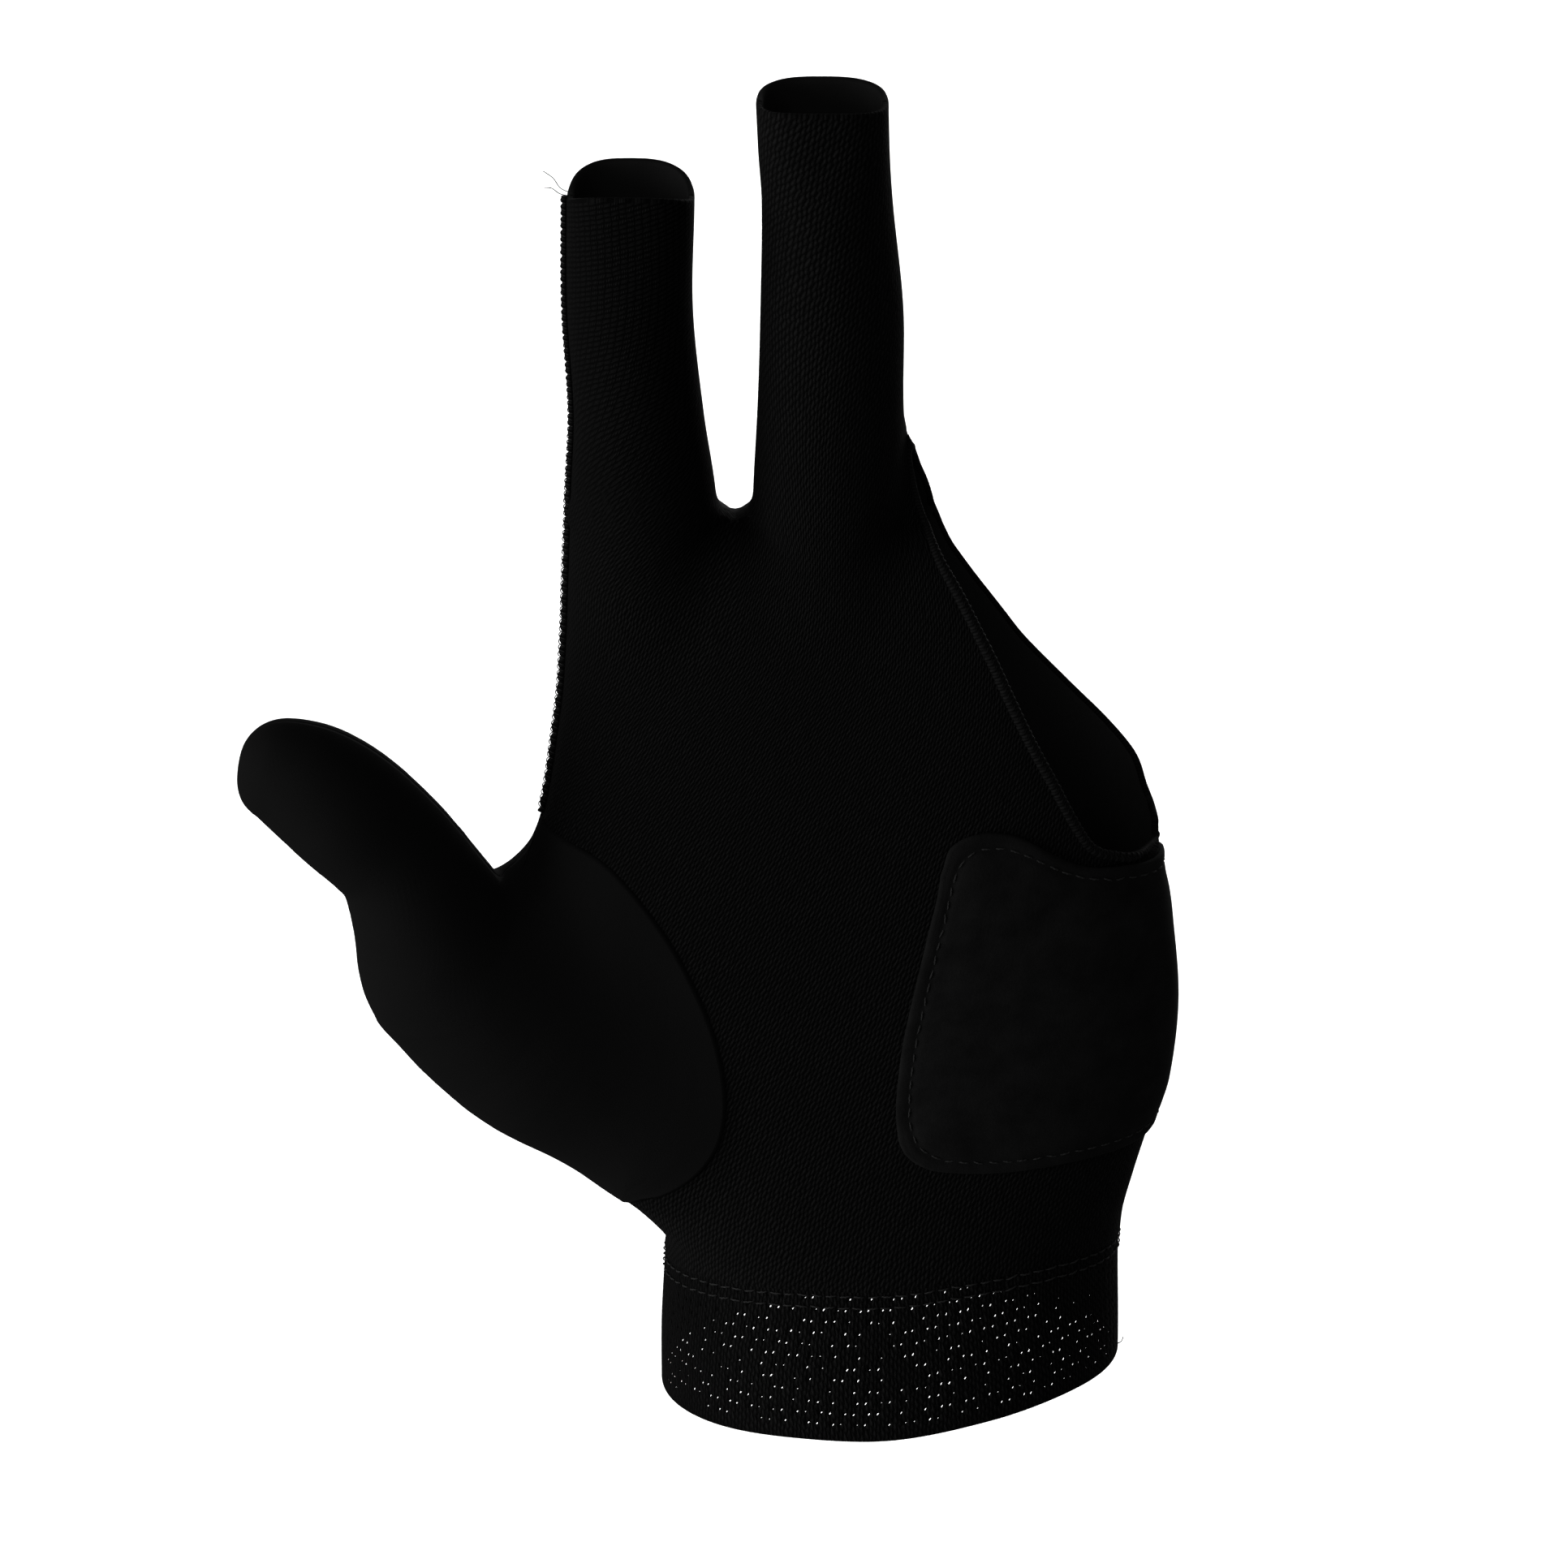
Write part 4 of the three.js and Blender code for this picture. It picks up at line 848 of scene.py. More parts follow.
def knit_marks(left, right, index_levels):
    """Marks for the points of both strips: basket is how far the knit reads as basket work, row counts its
    rows up the index finger, and the third mark is how far the knit is painted darker, a painted shade on the
    left edges that face the light. It runs above and below the thumb piece at the left edge, and on the
    middle finger's left edge above the crotch."""
    z = left[..., 2]
    basket = smooth_step(z, BASKET_FROM, BASKET_FULL)
    from_middle = upright_run(left, INDEX_AXIS, index_levels) - along(INDEX_AXIS, z)[..., 1]
    row = z - along(ROW_RISE, z)[..., 1] * from_middle
    # Painted shade: the knit is darkened along the left edge of the hand and of the middle finger
    seamed = np.maximum(smooth_step(z, 92, 104), smooth_step(z, 38, 31))
    left_edge_shade_hand = smooth_step(arc_length(left), EDGE_SHADE_MARGIN, 0) * seamed
    on_finger = smooth_step(right[..., 2], 128, 145)
    left_edge_shade_finger = 0.7 * smooth_step(arc_length(right), FINGER_EDGE_SHADE_MARGIN, 0) * on_finger
    none = np.zeros(right[..., 0].size)
    return {
        "basket": np.concatenate([basket.ravel(), none]),
        "row": np.concatenate([row.ravel(), none]),
        "left_edge_shade": np.concatenate([left_edge_shade_hand.ravel(), left_edge_shade_finger.ravel()]),
    }


def panel(name, side):
    """The wall of one panel, with the knit's map and marks."""
    left, right, index_levels, middle_levels, joined = strip_pair(side)
    maps = [
        rib_map(left, index_levels, INDEX_AXIS, 1, 2),
        rib_map(right, middle_levels, MIDDLE_AXIS, 3, 4),
    ]
    bring_together(maps, left, right, joined)
    return cloth_wall(name, [left, right], maps, 0.0, KNIT_WALL, knit_marks(left, right, index_levels))


palm_panel = panel("palm_knit", PALM)
palm_panel.data.materials.append(knit_finish("black weft knit", "#0e0e0e"))
back_panel = panel("back_cloth", BACK)
back_panel.data.materials.append(stretch_cloth_finish())
for piece, node, slot in ((palm_panel, "palm_panel", "knit"), (back_panel, "back_panel", "stretch_cloth")):
    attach(piece, "root")
    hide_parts(node)

# Thumb piece
# One smooth microfibre shell with a closed tip, cut as a front and a back half. Its foot spreads over the
# ball of the thumb and is sewn down over the knit with its edge turned in.

# Sections of the free thumb from the tip: middle x, y, z, the compass angles of its lower and upper sides,
# and how far the section leans over the tip, where 90 is the very end
THUMB_TUBE = np.array([
    (-88.6, -13.0, 103.8, -122, 58, 90),
    (-88.6, -13.0, 103.8, -122, 58, 66),
    (-88.6, -13.0, 103.8, -122, 58, 43),
    (-88.6, -13.0, 103.8, -122, 58, 20),
    (-88.0, -13.0, 103.4, -122, 58, 0),
    (-84.4, -13.0, 101.0, -122, 56, 0),
    (-79.4, -13.0, 96.8, -129, 50, 0),
    (-75.6, -12.5, 93.0, -137, 42, 0),
    (-73.0, -12.0, 90.0, -145, 36, 0),
    (-70.8, -11.2, 86.6, -152, 33, 0),
    (-68.8, -10.5, 82.0, -158, 36, 0),
    (-67.0, -9.9, 78.4, -162, 43, 0),
])
# Sections over the web between the thumb and the hand: middle x, y, z, the outer side's compass angle, and
# the point each one reaches towards
THUMB_WEB = np.array([
    (-65.0, -9.3, 75.4, -164, -57.8, -8.0, 84.4),
    (-63.0, -8.8, 73.4, -164, -56.5, -5.2, 84.9),
    (-61.0, -8.2, 71.6, -162, -54.9, -3.0, 86.1),
    (-60.1, -7.9, 70.8, -161, -53.3, -1.3, 88.0),
])
THUMB_TIP_ANGLE = 148
THUMB_COLUMNS = 44
ROWS_BETWEEN = 5
# Share of a section over the hand that is spent on its quarter turn
QUARTER_TURN_SHARE = 4 / 9
# How far the piece stands out over the knit, and its wall
THUMB_PROUD = 0.4
THUMB_WALL = 1.4


def compass(degrees):
    """Unit vector in the picture plane, 0 along +X and 90 up."""
    angle = np.radians(degrees)
    return np.stack([np.cos(angle), 0 * angle, np.sin(angle)], axis=-1)


def lofted(rows, steps):
    """Grid with `steps` rows for each of the given ones, on Catmull-Rom cubics through the columns'
    points."""
    at = np.linspace(0, len(rows) - 1, (len(rows) - 1) * steps + 1)
    i = np.minimum(at.astype(int), len(rows) - 2)
    s = (at - i)[:, None, None]
    before = rows[np.maximum(i - 1, 0)]
    after = rows[np.minimum(i + 2, len(rows) - 1)]
    a, b = rows[i], rows[i + 1]
    cubic = 2 * a + (b - before) * s + (2 * before - 5 * a + 4 * b - after) * s**2
    return (cubic + (3 * a - before - 3 * b + after) * s**3) / 2


def settled(points):
    """Points moved on to the form along its gradient, by Newton's steps."""
    for step in range(4):
        points = points - outward(points) * hand_form(points)[..., None]
    return points


def thumb_half(name, side):
    """Sections from the tip to the heel of the hand. A section of the free thumb runs evenly round half of
    it, and a section over the hand turns a quarter round its middle and then crosses the cloth's face to
    the edge."""
    t = np.linspace(0, 1, THUMB_COLUMNS + 1)[None, :, None]
    turn = np.pi * t
    outer = compass(THUMB_TUBE[:, 3])[:, None]
    inner = compass(THUMB_TUBE[:, 4])[:, None]
    lean = np.radians(THUMB_TUBE[:, 5])[:, None, None]
    flat = np.where(np.cos(turn) > 0, outer, inner) * np.abs(np.cos(turn))
    across = flat + np.array([0, side, 0]) * np.sin(turn)
    direction = unit(across * np.cos(lean) + compass(THUMB_TIP_ANGLE) * np.sin(lean))
    tube = skin_point(THUMB_TUBE[:, None, :3], direction)

    web_end = skin_point(THUMB_WEB[:, :3], unit(THUMB_WEB[:, 4:7] - THUMB_WEB[:, :3]))
    edge_x = THUMB_BASE[:, 1 if side == PALM else 2]
    base_end = face_point(edge_x, THUMB_BASE[:, 0], side)
    # The piece's top and foot are points on the hand's outline, shared by both halves
    for end in (0, -1):
        base_end[end] = skin_point(line_at(INDEX_AXIS, THUMB_BASE[end, 0]), (-1.0, 0, 0))
    middle = np.concatenate([THUMB_WEB[:, :3], THUMB_BASE[:, 3:6]])[:, None]
    outer = compass(np.concatenate([THUMB_WEB[:, 3], THUMB_BASE[:, 6]]))[:, None]
    end = np.concatenate([web_end, base_end])[:, None]
    turn = np.pi / 2 * np.minimum(t / QUARTER_TURN_SHARE, 1)
    across = np.sin(np.pi / 2 * np.maximum((t - QUARTER_TURN_SHARE) / (1 - QUARTER_TURN_SHARE), 0))
    direction = outer * np.cos(turn) + np.array([0, side, 0]) * np.sin(turn)
    foot = skin_point(middle + (end - middle) * across, direction)
    foot[:, -1] = end[:, 0]
    # The two halves share every row down to the web's end, so the surface is lofted in two parts that meet
    # there
    shared_rows = len(tube) + len(web_end) + 1
    rows = np.concatenate([tube, foot])
    upper = lofted(rows[:shared_rows], ROWS_BETWEEN)
    lower = lofted(rows[shared_rows - 1:], ROWS_BETWEEN)[1:]
    grid = settled(np.concatenate([upper, lower]))
    sewn = np.zeros(grid.shape[:2])
    sewn[:, 0] = 1
    sewn[:len(upper), -1] = 1
    run = arc_length(grid)
    along_rows = arc_length(grid.transpose(1, 0, 2)).T
    cloth_map = np.stack([run, along_rows], axis=-1)
    return cloth_wall(name, [grid], [cloth_map], THUMB_PROUD, THUMB_WALL, sewn=sewn.ravel())


def microfibre_finish():
    """Brushed microfibre: a close soft face with a dull glow where it turns to the light, and faint ribs
    0.9 mm apart that come and go."""
    made, tree, shader = new_finish("black microfibre", 0.95, 0.02)
    place = add_node(tree, "ShaderNodeUVMap", uv_map="cloth")
    parts = add_node(tree, "ShaderNodeSeparateXYZ", {0: place})
    turn = add_node(tree, "ShaderNodeMath", {0: parts[0], 1: 2 * np.pi / 0.9}, operation="MULTIPLY")
    rib = add_node(tree, "ShaderNodeMath", {0: turn}, operation="COSINE")
    patch = add_node(tree, "ShaderNodeTexNoise", {"Vector": place, "Scale": 0.09, "Detail": 1.0})
    patch = add_node(tree, "ShaderNodeMapRange", {0: patch, 1: 0.52, 2: 0.72, 3: 0.0, 4: 0.5})
    rib = add_node(tree, "ShaderNodeMath", {0: rib, 1: patch}, operation="MULTIPLY")
    nap = add_node(tree, "ShaderNodeTexNoise", {"Vector": place, "Scale": 2.6, "Detail": 3.0})
    height = add_node(tree, "ShaderNodeMath", {0: rib, 1: 0.5, 2: nap}, operation="MULTIPLY_ADD")
    cloud = add_node(tree, "ShaderNodeTexNoise", {"Vector": place, "Scale": 0.06, "Detail": 2.0})
    set_looks(tree, shader, cloud, "#0e0e0e", "#121212", height, 0.02, "#060606")
    return made


thumb_front = thumb_half("thumb_microfibre_front", PALM)
thumb_back = thumb_half("thumb_microfibre_back", BACK)
microfibre = microfibre_finish()
for piece, node in ((thumb_front, "thumb_front"), (thumb_back, "thumb_back")):
    piece.data.materials.append(microfibre)
    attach(piece, "root")
    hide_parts(node)

# Wrist band
# A ring of open mesh knit below the sewn joint. Slanted eyelets lie in pairs all over it, and light from
# below shines through them. The hem at the foot is the knit's own edge.
# The band's wall, how far it is sunk below the form, its height, how far it runs up behind the knit, and the
# depth of the rays that find it as a share of their width
BAND_WALL = 0.2
BAND_SUNK = 0.12
BAND_HEIGHT = 22.0
BAND_ABOVE_JOINT = 1.2
WRIST_FLATNESS = 0.8
# Eyelets: width and height of a tile in millimetres, then an eyelet's half width, half height and shift
# towards its partner as shares of its tile, how far it leans, and the shares of tiles that are closed and
# of eyelets that are small
EYELET_TILE = 1.75
EYELET_ROW = 1.6
EYELET_WIDE = 0.05
EYELET_TALL = 0.092
EYELET_SHIFT = 0.16
EYELET_LEAN = 0.55
CLOSED_SHARE = 0.2
SMALL_SHARE = 0.3
# An eyelet's lip is sunk by this much, and eyelets lie between these shares of the band's height
EYELET_LIP = 0.08
OPEN_FROM = 0.05
OPEN_TO = 0.9


def wrist_points(turn, share, offset):
    """Points of the form round the wrist at the angles `turn`, at a share of the way from the hem to the
    joint plus `offset` millimetres."""
    direction = unit(np.stack([np.cos(turn), -WRIST_FLATNESS * np.sin(turn), 0 * turn], axis=-1))
    points = direction * 30.0
    for settling in range(3):
        wrist = along(WRIST, wrist_angle(points))
        height = wrist[..., 1] + (wrist[..., 2] - wrist[..., 1]) * share + offset
        points = skin_point(np.stack([0 * height, 0 * height, height], axis=-1), direction)
    return points


def on_grid(grid, u, v):
    """Point of a grid at shares u along its rows and v up its columns, straight between its four
    neighbours."""
    rows, columns = grid.shape[0] - 1, grid.shape[1] - 1
    i = np.clip((v * rows).astype(int), 0, rows - 1)
    j = np.clip((u * columns).astype(int), 0, columns - 1)
    s = (v * rows - i)[..., None]
    t = (u * columns - j)[..., None]
    low = grid[i, j] * (1 - t) + grid[i, j + 1] * t
    high = grid[i + 1, j] * (1 - t) + grid[i + 1, j + 1] * t
    return low * (1 - s) + high * s


def eyelets(columns, rows):
    """For each tile of the band, eight points round a slanted oval, as shares of the way round and of the way
    up, and whether the knit is open there. Neighbours lean together in pairs, and sizes and places vary a
    little."""
    rng = np.random.default_rng(11)
    col, row = np.meshgrid(np.arange(columns), np.arange(rows))
    partner = ((col + row) % 2) * 2 - 1
    wide = EYELET_WIDE * rng.uniform(0.75, 1.2, col.shape)
    tall = EYELET_TALL * rng.uniform(0.75, 1.2, col.shape)
    shift = -partner * EYELET_SHIFT + rng.uniform(-0.05, 0.05, col.shape)
    rise = rng.uniform(-0.06, 0.06, col.shape)
    level = (row + 0.5) / rows
    small = rng.uniform(0, 1, col.shape) < SMALL_SHARE
    wide = np.where(small, wide * 0.6, wide)[..., None]
    tall = np.where(small, tall * 0.55, tall)[..., None]
    is_open = (level > OPEN_FROM) & (level < OPEN_TO) & (rng.uniform(0, 1, col.shape) > CLOSED_SHARE)
    turn = np.radians([225, 270, 315, 0, 45, 90, 135, 180])
    across = col[..., None] + 0.5 + shift[..., None] + wide * np.cos(turn) - EYELET_LEAN * tall * np.sin(turn)
    up = row[..., None] + 0.5 + rise[..., None] + tall * np.sin(turn)
    return across / columns, up / rows, is_open


def wrist_band():
    """A wall made of tiles. Each tile has eight points round its border, shared with its neighbours, and
    eight round an oval that is an eyelet or, where the knit is closed, a cap."""
    share, turn = np.meshgrid(np.linspace(0, 1, 25), np.linspace(0, 2 * np.pi, 161), indexing="ij")
    skin = wrist_points(turn, share, BAND_ABOVE_JOINT * share)
    normal = outward(skin)
    normal[:, -1] = normal[:, 0]
    around = np.linalg.norm(np.diff(skin[12], axis=0), axis=1).sum()
    columns = 2 * int(round(around / EYELET_TILE / 2))
    rows = int(round(BAND_HEIGHT / EYELET_ROW))
    hole_u, hole_v, is_open = eyelets(columns, rows)
    col, row = np.meshgrid(np.arange(columns), np.arange(rows))
    # Border points of the whole sheet of tiles, on a lattice twice as fine as the tiles
    lattice_u = np.arange(2 * columns + 1) / (2 * columns)
    lattice_v = np.arange(2 * rows + 1) / (2 * rows)
    uu, vv = np.meshgrid(lattice_u, lattice_v)
    number = np.arange(uu.size).reshape(uu.shape)
    number[:, -1] = number[:, 0]
    ring = [(0, 0), (0, 1), (0, 2), (1, 2), (2, 2), (2, 1), (2, 0), (1, 0)]
    border = np.stack([number[2 * row + r, 2 * col + c] for r, c in ring], axis=-1).reshape(-1, 8)
    u = np.concatenate([uu.ravel(), hole_u.ravel()])
    v = np.concatenate([vv.ravel(), hole_v.ravel()])
    hole = np.arange(hole_u.size).reshape(-1, 8) + uu.size
    base = on_grid(skin, u % 1.0, v)
    out = on_grid(normal, u % 1.0, v)
    swell = np.concatenate([np.zeros(uu.size), np.full(hole_u.size, -EYELET_LIP)])[:, None]
    count = len(u)
    outer = base + out * (swell - BAND_SUNK)
    inner = base + out * (-BAND_WALL - swell - BAND_SUNK)
    following = np.roll(np.arange(8), -1)
    frame_quads = np.stack([border, border[:, following], hole[:, following], hole], axis=-1).reshape(-1, 4)
    holes = hole[is_open.ravel()]
    caps = hole[~is_open.ravel()]
    hole_walls = np.stack([holes, holes[:, following], holes[:, following] + count, holes + count], axis=-1)
    hole_walls = hole_walls.reshape(-1, 4)
    cap_quads = np.concatenate([caps[:, [0, 1, 2, 3]], caps[:, [0, 3, 4, 7]], caps[:, [4, 5, 6, 7]]])
    foot = np.stack([number[0, 1:], number[0, :-1], number[0, :-1] + count, number[0, 1:] + count], axis=-1)
    top = number[-1]
    head = np.stack([top[:-1], top[1:], top[1:] + count, top[:-1] + count], axis=-1)
    outer_quads = np.concatenate([frame_quads, cap_quads])
    quads = np.concatenate([outer_quads, outer_quads[:, ::-1] + count, hole_walls, foot, head])
    a, b, c, d = (outer[outer_quads[:, k]] for k in range(4))
    if (np.cross(c - a, d - b) * out[outer_quads[:, 0]]).sum() < 0:
        quads = quads[:, ::-1]
    points = np.concatenate([outer, inner])
    flat = np.stack([u * around, v * BAND_HEIGHT], axis=-1)
    flat = np.concatenate([flat, flat])
    used, renumbered = np.unique(quads, return_inverse=True)
    renumbered = renumbered.reshape(quads.shape)
    # Painted shade: the band's left side, which faces the light, is painted darker
    marks = {"left_edge_shade": smooth_step(points[used][:, 0], -16, -36)}
    corner_flats = flat[used][renumbered].reshape(-1, 2)
    return mesh_object("wrist_mesh", points[used], [renumbered], corner_flats, marks)


wrist_mesh = wrist_band()
wrist_mesh.data.materials.append(knit_finish("black mesh knit"))
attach(wrist_mesh, "root")
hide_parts("wrist_band")

# Heel pad
# A suede patch on the heel of the palm that wraps round the little finger's side. Its edge is left flat
# outside one row of topstitching, and inside the row the suede stands a little fuller.

# Its four sides: share of the side, angle round the middle strip's line, z
PAD_BOTTOM = np.array([
    (0, 58.0, 45.8),
    (0.04, 61.4, 44.3),
    (0.1, 68.0, 43.1),
    (0.25, 90.0, 42.5),
    (0.5, 128.0, 43.2),
    (0.75, 162.0, 44.0),
    (0.9, 188.0, 45.2),
    (1, 200.0, 47.8),
])
PAD_TOP = np.array([
    (0, 71.0, 88.2),
    (0.1, 79.0, 92.2),
    (0.24, 97.0, 94.0),
    (0.36, 112.0, 93.4),
    (0.5, 126.0, 90.2),
    (0.62, 138.0, 87.8),
    (0.75, 157.0, 86.7),
    (0.9, 183.0, 85.4),
    (1, 198.0, 82.6),
])
PAD_LEFT = np.array([
    (0, 58.0, 45.8),
    (0.08, 56.3, 48.0),
    (0.25, 55.4, 54.0),
    (0.5, 57.6, 66.0),
    (0.75, 62.5, 78.0),
    (1, 71.0, 88.2),
])
PAD_RIGHT = np.array([
    (0, 200.0, 47.8),
    (0.25, 207.5, 55.0),
    (0.5, 210.0, 65.0),
    (0.75, 207.5, 75.0),
    (1, 198.0, 82.6),
])
# The pad's lift off the hand: at its edge, what its inside and the turn of its edge add, and what the
# stitches take
PAD_LIFT = 0.8
PAD_FULLER = 0.4
PAD_EDGE_TURN = 0.1
PAD_STITCH_DIP = 0.22
PAD_WALL = 1.0
PAD_STITCH_INSET = 1.35


def pad_grid(columns, rows):
    """Points stretched between the four sides: left to right plus bottom to top, less the corners' own
    plane."""
    u = np.linspace(0, 1, columns + 1)[None, :, None]
    v = np.linspace(0, 1, rows + 1)[:, None, None]
    left = along(PAD_LEFT, v[:, 0, 0])[:, None, 1:]
    right = along(PAD_RIGHT, v[:, 0, 0])[:, None, 1:]
    low = along(PAD_BOTTOM, u[0, :, 0])[None, :, 1:]
    high = along(PAD_TOP, u[0, :, 0])[None, :, 1:]
    corners = (PAD_LEFT[0, 1:] * (1 - u) + PAD_RIGHT[0, 1:] * u) * (1 - v)
    corners = corners + (PAD_LEFT[-1, 1:] * (1 - u) + PAD_RIGHT[-1, 1:] * u) * v
    spot = left * (1 - u) + right * u + low * (1 - v) + high * v - corners
    turn = np.radians(spot[..., 0])
    return skin_point(line_at(MIDDLE_AXIS, spot[..., 1]), strip_direction(turn, PALM))


def evenly(points, spacing, closed):
    """The same line with its points `spacing` apart."""
    line = np.vstack([points, points[:1]]) if closed else points
    run = run_along(line)
    at = np.linspace(0, run[-1], max(int(round(run[-1] / spacing)), 2) + 1)
    even = np.stack([np.interp(at, run, line[:, k]) for k in range(3)], axis=-1)
    return even[:-1] if closed else even


def inset_loop(loop, distance):
    """A closed line on the form, moved `distance` inwards along the cloth and smoothed by a running mean."""
    for step in range(6):
        ahead = unit(np.roll(loop, -1, axis=0) - np.roll(loop, 1, axis=0))
        inwards = np.cross(outward(loop), ahead)
        loop = loop + inwards * distance / 6
        mean = sum(np.roll(loop, k, axis=0) for k in (-2, -1, 0, 1, 2)) / 5
        loop = settled(mean)
        loop = evenly(loop, 0.8, True)
    return loop


def distance_to_loop(points, loop):
    """Distance from each point to the nearest of a line's points."""
    flat = points.reshape(-1, 3)
    nearest = np.full(len(flat), 1e9)
    for block in np.array_split(loop, max(len(loop) // 40, 1)):
        gap = np.linalg.norm(flat[:, None] - block[None], axis=-1).min(axis=1)
        nearest = np.minimum(nearest, gap)
    return nearest.reshape(points.shape[:-1])


pad_points = pad_grid(140, 100)
pad_sides = [pad_points[0, :-1], pad_points[:-1, -1], pad_points[-1, :0:-1], pad_points[:0:-1, 0]]
pad_edge = np.concatenate(pad_sides)
pad_edge = evenly(pad_edge, 0.5, True)
pad_stitch_line = inset_loop(pad_edge, PAD_STITCH_INSET)
from_edge = distance_to_loop(pad_points, pad_edge)
from_stitch = distance_to_loop(pad_points, evenly(pad_stitch_line, 0.35, True))
pad_lift = PAD_LIFT + PAD_FULLER * smooth_step(from_edge, 1.6, 6.5)
pad_lift -= PAD_STITCH_DIP * np.exp(-((from_stitch / 0.6) ** 2))
pad_lift += PAD_EDGE_TURN * smooth_step(from_edge, 0, 1.1)
pad_map = np.stack([arc_length(pad_points), pad_points[..., 2]], axis=-1)
heel_pad = cloth_wall("heel_suede", [pad_points], [pad_map], pad_lift.ravel(), PAD_WALL, rim_steps=4)


def suede_finish():
    """Synthetic suede: a short brushed nap that catches the light in soft patches 5 to 10 mm wide, over a
    fine grain."""
    made, tree, shader = new_finish("black suede", 0.95, 0.06)
    place = add_node(tree, "ShaderNodeUVMap", uv_map="cloth")
    soft_patches = {"Vector": place, "Scale": 0.16, "Detail": 4.0, "Roughness": 0.62}
    patch = add_node(tree, "ShaderNodeTexNoise", soft_patches)
    patch = add_node(tree, "ShaderNodeMapRange", {0: patch, 1: 0.32, 2: 0.7, 3: 0.0, 4: 1.0})
    grain = add_node(tree, "ShaderNodeTexNoise", {"Vector": place, "Scale": 2.4, "Detail": 3.0})
    height = add_node(tree, "ShaderNodeMath", {0: patch, 1: 0.35, 2: grain}, operation="MULTIPLY_ADD")
    shade = add_node(tree, "ShaderNodeMath", {0: grain, 1: 0.35, 2: patch}, operation="MULTIPLY_ADD")
    shade = add_node(tree, "ShaderNodeMath", {0: shade, 1: 0.8, 2: -0.1}, operation="MULTIPLY_ADD")
    set_looks(tree, shader, shade, "#0b0b0b", "#161616", height, 0.05)
    return made


heel_pad.data.materials.append(suede_finish())
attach(heel_pad, "root")
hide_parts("heel_pad")

THREAD_TWIST = 0.5


def thread_finish(name, dark, light, shine):
    """Twisted polyester thread: two plies that wind round once in 0.5 mm, with a soft shine."""
    made, tree, shader = new_finish(name, 0.7, shine)
    place = add_node(tree, "ShaderNodeUVMap", uv_map="cloth")
    parts = add_node(tree, "ShaderNodeSeparateXYZ", {0: place})
    turn = add_node(tree, "ShaderNodeMath", {0: parts[0], 1: 2 * np.pi / THREAD_TWIST}, operation="MULTIPLY")
    ply = add_node(tree, "ShaderNodeMath", {0: turn, 1: parts[1]}, operation="ADD")
    ply = add_node(tree, "ShaderNodeMath", {0: ply}, operation="SINE")
    ply = add_node(tree, "ShaderNodeMath", {0: ply, 1: 0.5, 2: 0.5}, operation="MULTIPLY_ADD")
    set_looks(tree, shader, ply, dark, light, ply, 0.03)
    return made


grey_thread = thread_finish("grey polyester thread", "#161616", "#2c2c2c", 0.1)
black_thread = thread_finish("black polyester thread", "#060606", "#141414", 0.03)


def thread_mesh(name, points, at, turn, material, inwards=False):
    """Closed tubes through rings of points, by tube, ring and angle round the tube. at is the distance run
    at each ring and turn the place round it, which are the thread's own map. inwards says that the angle
    runs the other way round."""
    index = np.arange(points[..., 0].size).reshape(points.shape[:3])
    near = np.roll(index, -1, axis=2)
    quads = np.stack([index[:, :-1], near[:, :-1], near[:, 1:], index[:, 1:]], axis=-1).reshape(-1, 4)
    ends = np.concatenate([index[:, 0, ::-1], index[:, -1]])
    flat = np.stack(np.broadcast_arrays(at[..., None], turn), axis=-1).reshape(-1, 2)
    corner_flats = np.concatenate([flat[quads].reshape(-1, 2), flat[ends].reshape(-1, 2)])
    order = -1 if inwards else 1
    made = mesh_object(name, points.reshape(-1, 3), [quads[:, ::order], ends[:, ::order]], corner_flats)
    made.data.materials.append(material)
    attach(made, "root")
    return made


STITCH_THREAD = 0.12


def stitch_row(name, line, lift, pitch, length, slant=0.0):
    """A row of stitches along a closed line on the cloth. Each is a bent thread: at share t from -1 to 1 of
    its length its middle stands at lift + radius (1 - 1.6 t^2), and its radius shrinks to 0.55 of its full
    size at the ends, where it dives in."""
    loop = np.vstack([line, line[:1]])
    run = run_along(loop)
    count = int(run[-1] // pitch)
    pitch = run[-1] / count
    rng = np.random.default_rng(len(name))
    middle = (np.arange(count) + 0.5) * pitch + rng.uniform(-0.04, 0.04, count) * pitch
    t = np.linspace(-1, 1, 7)
    half = length / 2 * rng.uniform(0.9, 1.08, count)
    at = (middle[:, None] + t[None] * half[:, None]) % run[-1]
    spot = np.stack([np.interp(at, run, loop[:, k]) for k in range(3)], axis=-1)
    normal = outward(spot)
    aside = np.cross(normal, unit(np.gradient(spot, axis=1)))
    tilt = rng.normal(0, 0.05, count)[:, None, None] + slant
    height = lift + STITCH_THREAD * (1 - 1.6 * t**2)
    spot = spot + normal * height[None, :, None] + aside * (tilt * t[None, :, None] * length)
    turn = np.linspace(0, 2 * np.pi, 6, endpoint=False)
    thick = STITCH_THREAD * (0.55 + 0.45 * np.sqrt(np.maximum(1 - t**2, 0)))
    ring = normal[:, :, None] * np.cos(turn)[:, None] + aside[:, :, None] * np.sin(turn)[:, None] * 1.15
    points = spot[:, :, None] + ring * thick[None, :, None, None]
    return thread_mesh(name, points, at, turn, grey_thread, inwards=True)


pad_stitches = stitch_row("pad_topstitch", pad_stitch_line, 0.68, 2.15, 1.65)

# Wrist stitching
# Two rows of grey thread hold the mesh band to the knit, one just below the joint and one 1.8 mm lower.
# They lie almost flush with the cloth.


